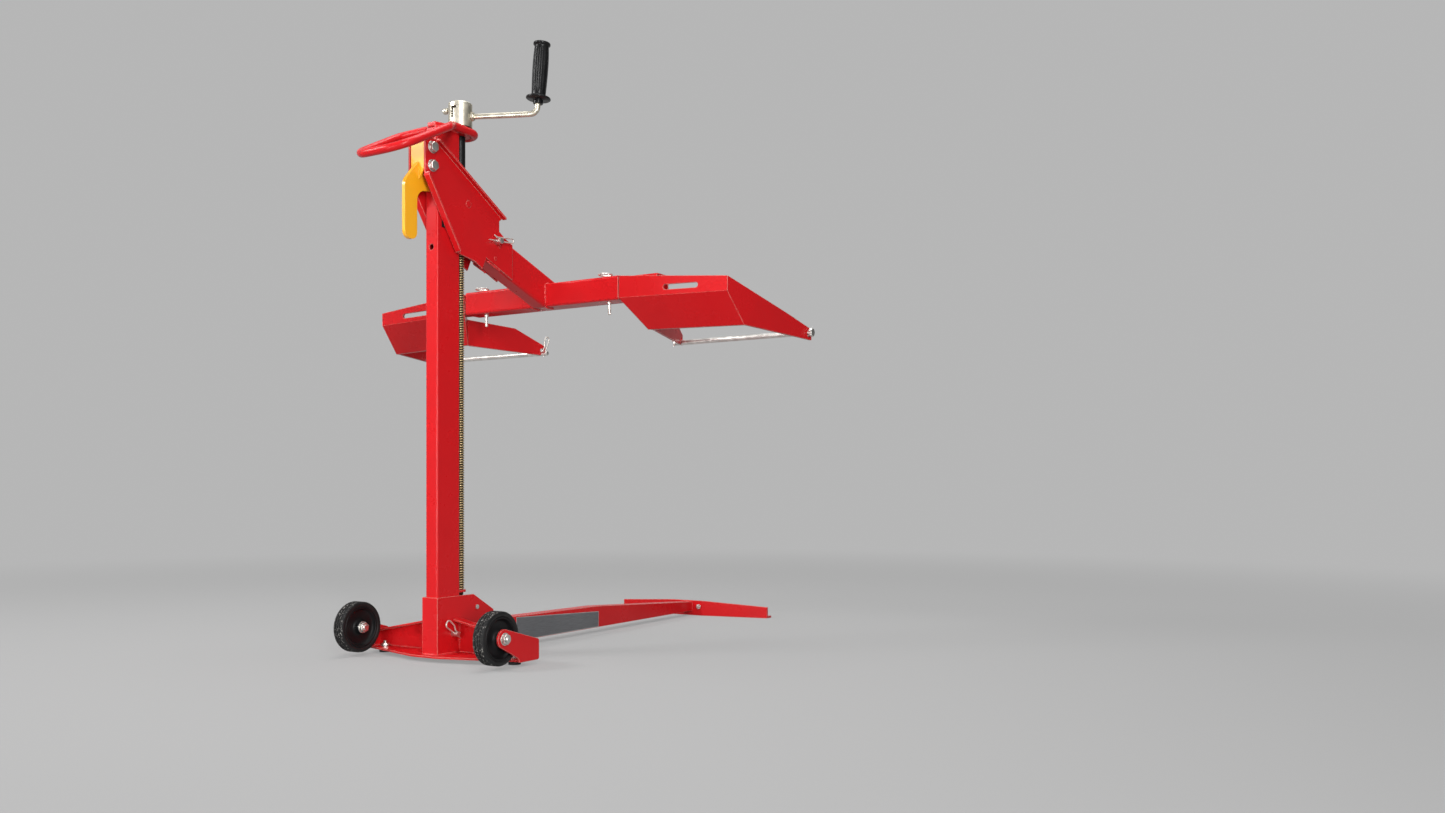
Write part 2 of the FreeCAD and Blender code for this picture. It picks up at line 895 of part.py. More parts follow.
def make_cross_beam():
    """The base plate with a channel wing to each side of the socket."""
    body = new_body("CrossBeam")
    end = size.base_half_length
    web_front = size.web_forward + size.web_thickness
    front = socket_front
    flat = size.base_rear_flat
    plan = [
        (-end, web_front), (-socket_side, web_front), (-socket_side, front), (socket_side, front),
        (socket_side, web_front), (end, web_front), (end, -size.base_rear_end),
        (flat, -size.base_rear_middle), (-flat, -size.base_rear_middle),
        (-end, -size.base_rear_end),
    ]
    slab(body, "XY_Plane", size.base_clearance, base_top, lambda s: draw_polygon(s, plan))
    inner_height = base_top + size.wing_height_inner
    outer_height = base_top + size.wing_height_outer
    thick = size.web_thickness
    gap = size.socket_gap
    for side in (-1, 1):
        near = side * (socket_side + gap)
        far = side * end
        wing = [(near, base_top), (far, base_top), (far, outer_height), (near, inner_height)]
        flange = [
            (near, inner_height), (far, outer_height),
            (far, outer_height - thick), (near, inner_height - thick),
        ]
        slab(body, "XZ_Plane", size.web_forward, web_front, lambda s: draw_polygon(s, wing))
        slab(
            body, "XZ_Plane", size.web_forward - size.wing_flange, size.web_forward,
            lambda s: draw_polygon(s, flange),
        )
        cut_slab(
            body, "XY_Plane", size.base_clearance - size.overrun, base_top + size.overrun,
            lambda s: draw_circle(
                s, side * foot_side, size.foot_forward,
                size.foot_stud_radius + size.pin_seat_gap,
            ),
        )
    return keep(body, "cross_beam")


def make_axle_plate(side, label):
    """The upright plate at one end of the base, with a round ear for the axle."""
    body = new_body(f"AxlePlate_{label}")
    start = side * size.base_half_length
    stop = side * (size.base_half_length + size.axle_plate_thickness)
    ear, hub_y, hub_z = size.ear_radius, -size.axle_back, size.axle_height
    low = size.base_clearance
    outline = [
        (hub_y + ear * 0.3, hub_z + ear * 0.94),
        (size.axle_plate_front, low + size.axle_plate_front_height),
        (size.axle_plate_front, low),
        (-size.axle_plate_foot_back, low),
        (-size.axle_plate_foot_back - size.axle_plate_corner, low + ear * 0.5),
        (hub_y - ear * 0.5, hub_z - ear * 0.84),
    ]
    slab(body, "YZ_Plane", start, stop, lambda s: draw_polygon(s, outline))
    round_corners(body, "YZ_Plane", outline[1:3], size.axle_plate_corner)
    slab(body, "YZ_Plane", start, stop, lambda s: draw_circle(s, hub_y, hub_z, ear))
    cut_slab(
        body, "YZ_Plane", start - size.overrun, stop + size.overrun,
        lambda s: draw_circle(s, hub_y, hub_z, size.axle_radius + size.pin_seat_gap),
    )
    return keep(body, f"axle_plate_{label}")


def make_wheel(side, label):
    """A rubber tyre on a plastic hub, running on a bolt through the axle plate."""
    half = size.tyre_width / 2
    radius, rim = size.wheel_radius, size.rim_radius
    shoulder = half * TREAD_SHOULDER_SHARE
    rounding = radius - half * (1 - TREAD_SHOULDER_SHARE) * 2
    outline = [
        (rim, -half * RIM_SHARE), (rounding, -half), (radius, -shoulder), (radius, shoulder),
        (rounding, half), (rim, half * RIM_SHARE),
    ]
    centre = (side * wheel_side, -size.axle_back, size.axle_height)
    keep(turned(f"Tyre_{label}", outline, *centre, along="X"), f"tyre_{label}")

    bore = size.axle_radius + size.axle_running_gap
    web = size.hub_web / 2
    face = half * RIM_SHARE
    boss = half + size.hub_overhang
    ring = size.hub_radius
    hub = [
        (bore, -boss), (ring, -boss), (ring, -web), (rim, -face), (rim, face), (ring, web),
        (ring, boss), (bore, boss),
    ]
    keep(turned(f"Hub_{label}", hub, *centre, along="X"), f"hub_{label}")


def make_axle(side, label):
    """The axle bolt with its head outside the plate and its nut inside the wheel."""
    plate_in = size.base_half_length
    plate_out = plate_in + size.axle_plate_thickness
    boss = size.tyre_width / 2 + size.hub_overhang + size.side_play
    inner_face = wheel_side - boss
    outer_face = wheel_side + boss
    tip = inner_face - size.axle_nut_height
    head_end = plate_out + size.axle_head_height
    y, z = -size.axle_back, size.axle_height
    body = new_body(f"Axle_{label}")
    slab(
        body, "YZ_Plane", side * (tip - size.axle_thread_end), side * head_end,
        lambda s: draw_circle(s, y, z, size.axle_radius),
    )
    for near, far in ((tip, inner_face), (outer_face, plate_in), (plate_out, head_end)):
        slab(
            body, "YZ_Plane", side * near, side * far,
            lambda s: draw_hexagon(s, y, z, size.axle_head_width),
        )
    return keep(body, f"axle_{label}")


def make_foot(side, label):
    """A rubber foot under the base plate and the stud and nut that hold it."""
    x, y = side * foot_side, size.foot_forward
    tall = size.base_clearance
    foot = new_body(f"Foot_{label}")
    slab(foot, "XY_Plane", ZERO, tall, lambda s: draw_circle(s, x, y, size.foot_radius))
    keep(foot, f"foot_{label}")
    nut_top = base_top + size.foot_nut_height
    stud = new_body(f"FootStud_{label}")
    slab(
        stud, "XY_Plane", tall, nut_top + size.foot_stud_rise,
        lambda s: draw_circle(s, x, y, size.foot_stud_radius),
    )
    slab(stud, "XY_Plane", base_top, nut_top, lambda s: draw_hexagon(s, x, y, size.foot_nut_width))
    keep(stud, f"foot_stud_{label}")


def make_forward_beam():
    """A folded channel, open below, that tapers toward the front bar."""
    body = new_body("ForwardBeam")
    low = size.beam_rise
    rear = socket_front
    knee, front = size.beam_knee_forward, size.beam_front_forward
    wall = size.beam_wall
    profile = [
        (rear, low), (front, low), (front, low + size.beam_front_height),
        (knee, low + size.beam_knee_height), (rear, low + size.beam_rear_height),
    ]
    hollow = [
        (rear - size.overrun, low - size.overrun), (front + size.overrun, low - size.overrun),
        (front + size.overrun, low + size.beam_front_height - wall),
        (front, low + size.beam_front_height - wall),
        (knee, low + size.beam_knee_height - wall),
        (rear, low + size.beam_rear_height - wall),
        (rear - size.overrun, low + size.beam_rear_height - wall),
    ]
    half = size.beam_half_width
    slab(body, "YZ_Plane", -half, half, lambda s: draw_polygon(s, profile))
    cut_slab(
        body, "YZ_Plane", wall - half, half - wall, lambda s: draw_polygon(s, hollow)
    )
    return keep(body, "forward_beam")


def make_t_bar():
    """The front bar: two halves of an angle that sweep forward and get lower."""
    body = new_body("TBar")
    half = size.bar_half_length
    rear = size.beam_front_forward
    sweep, thick = size.bar_sweep, size.bar_thickness
    high, low_end = size.bar_middle_height, size.bar_end_height
    flat, deep = size.bar_flat, size.bar_flange
    for depth, top in ((thick, high), (deep, thick)):
        plan = [
            (-half, rear + sweep), (-flat, rear), (flat, rear), (half, rear + sweep),
            (half, rear + sweep + depth), (flat, rear + depth), (-flat, rear + depth),
            (-half, rear + sweep + depth),
        ]
        slab(body, "XY_Plane", ZERO, top, lambda s: draw_polygon(s, plan))
    over = size.overrun
    for side in (-1, 1):
        trim = [
            (side * flat, high), (side * half, low_end), (side * (half + over), low_end),
            (side * (half + over), high + over), (side * flat, high + over),
        ]
        cut_slab(
            body, "XZ_Plane", rear - over, rear + sweep + deep + over,
            lambda s: draw_polygon(s, trim),
        )
    cut_slab(
        body, "XZ_Plane", rear - over, rear + thick + over,
        lambda s: draw_circle(
            s, size.bar_bolt_side, size.bar_bolt_height,
            size.bar_bolt_radius + size.pin_seat_gap,
        ),
    )
    return keep(body, "t_bar")


def make_bolt(name, role, start, stop, middle, radius, width, tall):
    """A bolt whose hexagonal head and nut close on the grip between two places."""
    x, y = middle
    body = new_body(name)
    slab(body, role, start - tall, stop + tall, lambda s: draw_circle(s, x, y, radius))
    for near, far in ((start - tall, start), (stop, stop + tall)):
        slab(body, role, near, far, lambda s: draw_hexagon(s, x, y, width))
    return body


def make_small_bolts():
    front = size.beam_front_forward
    bolt = make_bolt(
        "BarBolt", "XZ_Plane", front, front + size.bar_thickness,
        (size.bar_bolt_side, size.bar_bolt_height),
        size.bar_bolt_radius, size.bar_bolt_head_width, size.bar_bolt_head_height,
    )
    keep(bolt, "t_bar_bolt")
    bolt = make_bolt(
        "GussetBolt", "YZ_Plane", -socket_side, socket_side,
        (socket_front + size.gusset_bolt_forward, size.gusset_bolt_height),
        size.gusset_bolt_radius, size.gusset_bolt_head_width, size.gusset_bolt_head_height,
    )
    keep(bolt, "gusset_bolt")


def make_lower_bearing():
    """The tongue on the post that steadies the lower end of the screw."""
    body = new_body("LowerBearing")
    half = size.bearing_plate_half_width
    tongue = rectangle(-half, half, post_front, size.screw_forward)
    slab(body, "XY_Plane", bearing_low, bearing_top, lambda s: draw_polygon(s, tongue))
    slab(
        body, "XY_Plane", bearing_low, bearing_top,
        lambda s: draw_circle(s, ZERO, size.screw_forward, half),
    )
    cut_slab(
        body, "XY_Plane", bearing_low - size.overrun, bearing_top + size.overrun,
        lambda s: draw_circle(
            s, ZERO, size.screw_forward, size.screw_journal_radius + size.screw_running_gap
        ),
    )
    return keep(body, "lower_bearing")


def make_screw():
    """The lift screw with its lower journal, the sleeve under the cap and the washer."""
    low = bearing_top + size.side_play
    journal = size.screw_journal_radius
    radius = size.screw_radius
    top = head_top - size.crank_head_cover
    tip = bearing_low - size.screw_tail
    outline = [
        (0, tip), (journal, tip), (journal, low), (radius, low), (radius, top), (0, top),
    ]
    keep(turned("Screw", outline, ZERO, size.screw_forward), "lift_screw")
    sleeve_top = size.post_top - size.side_play
    sleeve_low = sleeve_top - size.sleeve_length
    gap = size.pin_seat_gap
    sleeve = [
        (radius + gap, sleeve_low), (size.sleeve_radius, sleeve_low),
        (size.sleeve_radius, sleeve_top), (radius + gap, sleeve_top),
    ]
    keep(turned("Sleeve", sleeve, ZERO, size.screw_forward), "screw_sleeve")
    washer = [
        (radius + gap, boss_top + gap), (size.washer_radius, boss_top + gap),
        (size.washer_radius, washer_top), (radius + gap, washer_top),
    ]
    keep(turned("Washer", washer, ZERO, size.screw_forward), "thrust_washer")


def make_crank_head():
    """The zinc socket on the screw, with an angled slot and the hole for the crank arm."""
    radius, chamfer = size.crank_head_radius, size.crank_head_chamfer
    bore = size.screw_radius + size.pin_seat_gap
    bore_top = head_top - size.crank_head_cover + size.pin_seat_gap
    outline = [
        (bore, head_low), (radius, head_low),
        (radius, head_top - chamfer), (radius - chamfer, head_top), (0, head_top),
        (0, bore_top), (bore, bore_top),
    ]
    body = turned("CrankHead", outline, ZERO, size.screw_forward)
    half = size.crank_slot_width / 2
    low = head_low + size.crank_slot_rise
    high = low + size.crank_slot_length
    slot = [
        (-half, low), (half, low), (half, high - size.crank_slot_width),
        (half + size.crank_slot_branch, high - size.crank_slot_width),
        (half + size.crank_slot_branch, high), (-half, high),
    ]
    cut_slab(
        body, "XZ_Plane", -radius - size.overrun, size.crank_slot_depth - radius,
        lambda s: draw_polygon(s, slot),
    )
    knob_height = head_low + size.crank_knob_rise
    cut_slab(
        body, "YZ_Plane", -radius - size.overrun, size.crank_slot_depth - radius,
        lambda s: draw_circle(s, ZERO, knob_height, size.crank_knob_stem + size.pin_seat_gap),
    )
    arm_plane = body.newObject("PartDesign::Plane", "ArmPlane")
    arm_plane.AttachmentSupport = [(origin_plane(body, "YZ_Plane"), "")]
    arm_plane.MapMode = "FlatFace"
    arm_plane.AttachmentOffset = Placement(
        Vector(0, 0, 0), Rotation(Y_AXIS, size.crank_arm_turn_angle.number)
    )
    arm_plane.setExpression(".AttachmentOffset.Rotation.Angle", size.crank_arm_turn_angle.text)
    doc.recompute()
    volume = body.Tip.Shape.Volume
    sketch = body.newObject("Sketcher::SketchObject", "ArmHole")
    sketch.AttachmentSupport = [(arm_plane, "")]
    sketch.MapMode = "FlatFace"
    draw_circle(sketch, ZERO, arm_height, size.crank_arm_radius + size.pin_seat_gap)
    sketch.setExpression(".AttachmentOffset.Base.z", size.crank_arm_seat.text)
    hole = body.newObject("PartDesign::Pocket", "ArmSeat")
    hole.Profile = sketch
    hole.Reversed = True
    hole.setExpression("Length", (radius + size.overrun).text)
    body.Tip = hole
    doc.recompute()
    if not hole.Shape.Volume < volume - 1e-6:
        raise RuntimeError("the seat of the crank arm removes nothing")
    keep(body, "crank_head")
    stem, knob = size.crank_knob_stem, size.crank_knob_radius
    reach = size.crank_knob_reach
    inner = radius - size.crank_slot_depth + size.pin_seat_gap
    outline = [
        (0, inner), (stem, inner), (stem, reach - knob), (knob, reach - knob),
        (knob, reach + knob), (0, reach + knob),
    ]
    knob_body = turned(
        "CrankKnob", outline, ZERO, size.screw_forward, knob_height, along="X", flip=True
    )
    keep(knob_body, "crank_knob")


def crank_frame():
    """The two ends of the crank arm's outer bend and the heading of its upright part."""
    turn = math.radians(size.crank_arm_turn_angle.number)
    lean = math.radians(size.crank_arm_lean_angle.number)
    outward = Vector(math.cos(turn), math.sin(turn), 0)
    start = at(ZERO, size.screw_forward, arm_height)
    corner = start + outward * size.crank_arm_reach.number
    up = (Z_AXIS * math.cos(lean) + outward * math.sin(lean)).normalize()
    return start, outward, corner, up


def make_crank_arm():
    start, outward, corner, up = crank_frame()
    seat = start + outward * (size.crank_arm_seat + size.pin_seat_gap).number
    length = size.grip_start + size.grip_length - size.grip_cap
    top = corner + up * length.number
    bar = bent_bar(
        "CrankArm", [seat, corner, top], [0, size.crank_arm_bend.number, 0],
        size.crank_arm_radius.number, BAR_SIDES,
    )
    return keep(bar, "crank_arm")


def make_grip():
    """The black grip, free to turn on the upright end of the arm."""
    bore = size.crank_arm_radius + size.grip_running_gap
    collar, guard = size.grip_collar_radius, size.grip_guard_radius
    collar_top = size.grip_collar_length
    guard_top = collar_top + size.grip_guard_thickness
    top = size.grip_length
    barrel = top - guard_top - size.grip_lip_length
    waist, belly, lip = size.grip_waist_radius, size.grip_belly_radius, size.grip_lip_radius
    bore_top = top - size.grip_cap + size.side_play
    outline = [
        (bore, 0), (collar, 0), (collar, collar_top), (guard, collar_top + size.side_play),
        (guard, guard_top - size.side_play), (waist, guard_top),
        (waist, guard_top + barrel * GRIP_WAIST_SHARE),
        (belly, guard_top + barrel * GRIP_BELLY_SHARE),
        (waist, top - size.grip_lip_length), (lip, top - size.grip_lip_length * 0.6),
        (lip, top - size.side_play), (lip - size.side_play, top), (0, top),
        (0, bore_top), (bore, bore_top),
    ]
    body = turned("Grip", outline)
    flute_low = guard_top + barrel * GRIP_WAIST_SHARE
    flute_high = top - size.grip_lip_length * 2
    depth = size.grip_flute
    sketch = new_sketch(body, "XY_Plane", flute_low)
    draw_polygon(
        sketch, [(belly - depth, ZERO), (belly + depth, -depth * 2), (belly + depth, depth * 2)]
    )
    flute = body.newObject("PartDesign::Pocket", "Flute")
    flute.Profile = sketch
    flute.Reversed = True
    flute.setExpression("Length", (flute_high - flute_low).text)
    body.Tip = flute
    doc.recompute()
    pattern = body.newObject("PartDesign::PolarPattern", "Flutes")
    pattern.Originals = [flute]
    axis = next(item for item in body.Origin.OriginFeatures if item.Role == "Z_Axis")
    pattern.Axis = (axis, [""])
    pattern.Angle = 360
    pattern.Occurrences = FLUTES
    body.Tip = pattern
    doc.recompute()
    turn, lean = size.crank_arm_turn_angle, size.crank_arm_lean_angle
    out = size.crank_arm_reach + size.grip_start * sine(lean)
    place(
        body, out * cosine(turn), size.screw_forward + out * sine(turn),
        arm_height + size.grip_start * cosine(lean),
        Vector(-sine(turn).number, cosine(turn).number, 0), lean,
    )
    return keep(body, "crank_grip")


def arm_line(forward, above):
    """Height of the line along the arm's lower edge, raised across the arm by a share."""
    slope = sine(size.arm_slope_angle) / cosine(size.arm_slope_angle)
    rise = size.arm_height / cosine(size.arm_slope_angle)
    return tube_low - slope * (forward - tube_rear) + rise * above


def make_side_plate(side, label):
    """One cheek of the carriage, with flanges turned outward along two edges."""
    body = new_body(f"SidePlate_{label}")
    rear, top = -size.plate_rear, nut_height + size.plate_top_rise
    rear_low = nut_height + size.plate_rear_low_rise
    heel = nut_height - size.plate_heel_drop
    brow = size.plate_brow_forward
    front = size.plate_front
    brow_height = nut_height - size.plate_brow_drop
    notch_back = brow - size.plate_notch
    outline = [
        (rear, top),
        (rear, rear_low),
        (size.plate_heel_forward, heel),
        (size.plate_sole_forward, nut_height - size.plate_sole_drop),
        (size.plate_toe_forward, nut_height - size.plate_toe_drop),
        (size.plate_toe_forward + size.plate_notch, arm_line(size.plate_toe_forward, 0)),
        (front, arm_line(front, 0)),
        (front, arm_line(front, 1)),
        (brow + size.plate_notch / 2, arm_line(brow, 1)),
        (notch_back, brow_height - size.plate_notch_height),
        (notch_back, brow_height - size.plate_notch * 0.8),
        (brow, brow_height),
        (-size.plate_top_back, top),
    ]
    start, stop = side * plate_inner, side * plate_outer
    slab(body, "YZ_Plane", start, stop, lambda s: draw_polygon(s, outline))
    thick = size.side_plate_thickness
    reach = side * (plate_outer + size.side_flange - thick)
    low_flange = [
        (rear, rear_low), (size.plate_heel_forward, heel),
        (size.plate_heel_forward, heel + thick * 1.8), (rear, rear_low + thick * 1.8),
    ]
    top_flange = [
        (-size.plate_top_back, top), (brow, brow_height), (brow, brow_height - thick * 1.15),
        (-size.plate_top_back, top - thick * 1.15),
    ]
    for flange in (low_flange, top_flange):
        slab(body, "YZ_Plane", stop, reach, lambda s: draw_polygon(s, flange))
    holes = [
        (-size.guide_bolt_back, guide_bolt_low, size.guide_bolt_radius),
        (-size.guide_bolt_back, pivot_height, size.guide_bolt_radius),
        (arm_pin_forward, arm_pin_height, size.hitch_pin_radius),
        (size.screw_forward, nut_height, size.nut_trunnion_radius),
    ]
    for forward, height, radius in holes:
        cut_slab(
            body, "YZ_Plane", start - size.overrun, stop + size.overrun,
            lambda s: draw_circle(s, forward, height, radius + size.pin_seat_gap),
        )
    return keep(body, f"side_plate_{label}")


arm_pin_forward = tube_rear - size.arm_pin_back
arm_pin_height = arm_line(arm_pin_forward, 1) - size.arm_pin_drop


def make_guide():
    """The rear guide block, its two bolts, the lift nut and the front pad."""
    block = new_body("GuideBlock")
    half = size.guide_block_half_width
    low = guide_bolt_low - size.guide_block_low
    high = pivot_height + size.guide_block_high
    near = post_rear - size.guide_gap
    slab(
        block, "YZ_Plane", -half, half,
        lambda s: draw_polygon(s, rectangle(-size.guide_block_rear, near, low, high)),
    )
    for height in (guide_bolt_low, pivot_height):
        cut_slab(
            block, "YZ_Plane", -half - size.overrun, half + size.overrun,
            lambda s: draw_circle(
                s, -size.guide_bolt_back, height, size.guide_bolt_radius + size.pin_seat_gap
            ),
        )
    keep(block, "guide_block")
    for name, height in (("lower", guide_bolt_low), ("upper", pivot_height)):
        bolt = make_bolt(
            f"GuideBolt_{name}", "YZ_Plane", -plate_outer, plate_outer,
            (-size.guide_bolt_back, height), size.guide_bolt_radius,
            size.guide_bolt_head_width, size.guide_bolt_head_height,
        )
        keep(bolt, f"guide_bolt_{name}")

    nut = new_body("LiftNut")
    near = post_front + size.nut_rear_gap
    low = nut_height - size.nut_half_height
    high = nut_height + size.nut_half_height
    slab(
        nut, "XY_Plane", low, high,
        lambda s: draw_polygon(
            s, rectangle(-plate_inner, plate_inner, near, near + size.nut_depth)
        ),
    )
    slab(
        nut, "YZ_Plane", -plate_outer, plate_outer,
        lambda s: draw_circle(s, size.screw_forward, nut_height, size.nut_trunnion_radius),
    )
    cut_slab(
        nut, "XY_Plane", low - size.overrun, high + size.overrun,
        lambda s: draw_circle(
            s, ZERO, size.screw_forward, size.screw_radius + size.screw_running_gap
        ),
    )
    keep(nut, "lift_nut")
    pad = new_body("FrontPad")
    slab(
        pad, "XY_Plane", nut_height - size.pad_low_drop, nut_height - size.pad_high_drop,
        lambda s: draw_polygon(
            s, rectangle(-plate_inner, plate_inner, near, near + size.pad_depth)
        ),
    )
    keep(pad, "front_pad")


def make_liner(side, label):
    """A thin plastic liner between the post and one cheek of the carriage."""
    body = new_body(f"Liner_{label}")
    half, low = size.liner_half_depth, nut_height - size.liner_low_drop
    outline = rectangle(-half, half, low, low + size.liner_length)
    slab(
        body, "YZ_Plane", side * (half_post + size.guide_gap), side * plate_inner,
        lambda s: draw_polygon(s, outline),
    )
    keep(body, f"side_liner_{label}")


def make_arm():
    """The sloping arm: an oblong tube, coped where it is welded over the cross tube."""
    body = new_body("Arm")
    half = plate_inner
    rear = size.arm_rear
    end = tube_front
    outline = [
        (rear, arm_line(rear, 0)), (tube_rear, arm_line(tube_rear, 0)),
        (tube_rear, tube_top), (end, tube_top), (end, arm_line(end, 1)),
        (rear, arm_line(rear, 1)),
    ]
    slab(body, "YZ_Plane", -half, half, lambda s: draw_polygon(s, outline))
    runs = []
    for face in (-half, half):
        runs.append((at(face, rear, arm_line(rear, 0)), at(face, tube_rear, arm_line(tube_rear, 0))))
        runs.append((at(face, rear, arm_line(rear, 1)), at(face, end, arm_line(end, 1))))
    round_runs(body, runs, size.arm_corner)
    wall = size.arm_wall
    share = wall / size.arm_height
    over = size.overrun
    hollow = [
        (rear - over, arm_line(rear - over, share)),
        (tube_rear + over, arm_line(tube_rear + over, share)),
        (tube_rear + over, tube_top),
        (end + over, tube_top),
        (end + over, arm_line(end + over, 1 - share)),
        (rear - over, arm_line(rear - over, 1 - share)),
    ]
    cut_slab(body, "YZ_Plane", wall - half, half - wall, lambda s: draw_polygon(s, hollow))
    cut_slab(
        body, "YZ_Plane", -half - over, half + over,
        lambda s: draw_circle(
            s, arm_pin_forward, arm_pin_height, size.hitch_pin_radius + size.pin_seat_gap
        ),
    )
    return keep(body, "arm_tube")


def make_cross_tube():
    body = box_tube(
        "CrossTube", "YZ_Plane", -size.tube_half_length, size.tube_half_length,
        (size.tube_forward, tube_height), (tube_half, tube_half),
        size.tube_wall, size.tube_corner,
    )
    for side in (-1, 1):
        cut_slab(
            body, "XY_Plane", tube_low - size.overrun, tube_top + size.overrun,
            lambda s: draw_circle(
                s, side * lock_pin_side, size.tube_forward,
                size.lock_pin_radius + size.lock_pin_gap,
            ),
        )
    return keep(body, "cross_tube")


def make_lock_pin(side, label):
    """A pull pin through the cross tube, with a ring through its head."""
    x, y = side * lock_pin_side, size.tube_forward
    radius, head = size.lock_pin_radius, size.lock_pin_head_radius
    tip = tube_low - size.lock_pin_tip
    top = tube_top + size.lock_pin_head_height
    outline = [
        (0, tip), (radius, tip), (radius, tube_top), (head, tube_top),
        (head, tube_top + size.lock_ring_wire), (radius, tube_top + size.lock_ring_wire),
        (radius, top), (0, top),
    ]
    pin = turned(f"LockPin_{label}", outline, x, y)
    hole = size.lock_ring_wire * 2
    hole_height = tube_top + hole * 2
    cut_slab(
        pin, "YZ_Plane", -head - size.overrun, head + size.overrun,
        lambda s: draw_circle(s, ZERO, hole_height, hole),
    )
    keep(pin, f"lock_pin_{label}")
    reach = size.lock_ring_radius.number
    centre = at(x, y - size.lock_ring_radius, hole_height - size.lock_ring_drop)
    route = []
    for step in range(RING_STEPS):
        angle = 2 * math.pi * step / RING_STEPS
        route.append(centre + Vector(reach * math.cos(angle), reach * math.sin(angle), 0))
    wire = size.lock_ring_wire.number
    ring = bar_from_route(f"LockRing_{label}", route, wire, WIRE_SIDES, closed=True)
    keep(ring, f"lock_ring_{label}")


def make_cradle_tube(side, label):
    """The inner tube that slides in the cross tube and carries one cradle."""
    travel = size.cradle_travel
    slot = size.lock_pin_radius + size.lock_pin_gap
    start = lock_pin_side - travel - size.overrun * 2
    stop = cradle_inner + size.cradle_tube_reach
    body = box_tube(
        f"CradleTube_{label}", "YZ_Plane", side * start, side * stop,
        (size.tube_forward, tube_height), (slide_half, slide_half),
        size.cradle_tube_wall, size.cradle_tube_wall,
    )
    inner = side * (lock_pin_side - travel - slot)
    outer = side * (lock_pin_side + slot)
    cut_slab(
        body, "XY_Plane", tube_low - size.overrun, tube_top + size.overrun,
        lambda s: draw_polygon(
            s, rectangle(inner, outer, size.tube_forward - slot, size.tube_forward + slot)
        ),
    )
    return keep(body, f"cradle_tube_{label}")


def leaned(side, x, z):
    """Where a cradle's point goes when the cradle leans down toward its outer end."""
    lean = size.cradle_lean_angle
    out, up = side * x - cradle_inner, z - tube_height
    far = cradle_inner + out * cosine(lean) + up * sine(lean)
    return side * far, tube_height - out * sine(lean) + up * cosine(lean)


def lean_outward(item, side):
    x, z = leaned(side, ZERO, ZERO)
    place(item, x, ZERO, z, Vector(0, side, 0), size.cradle_lean_angle)


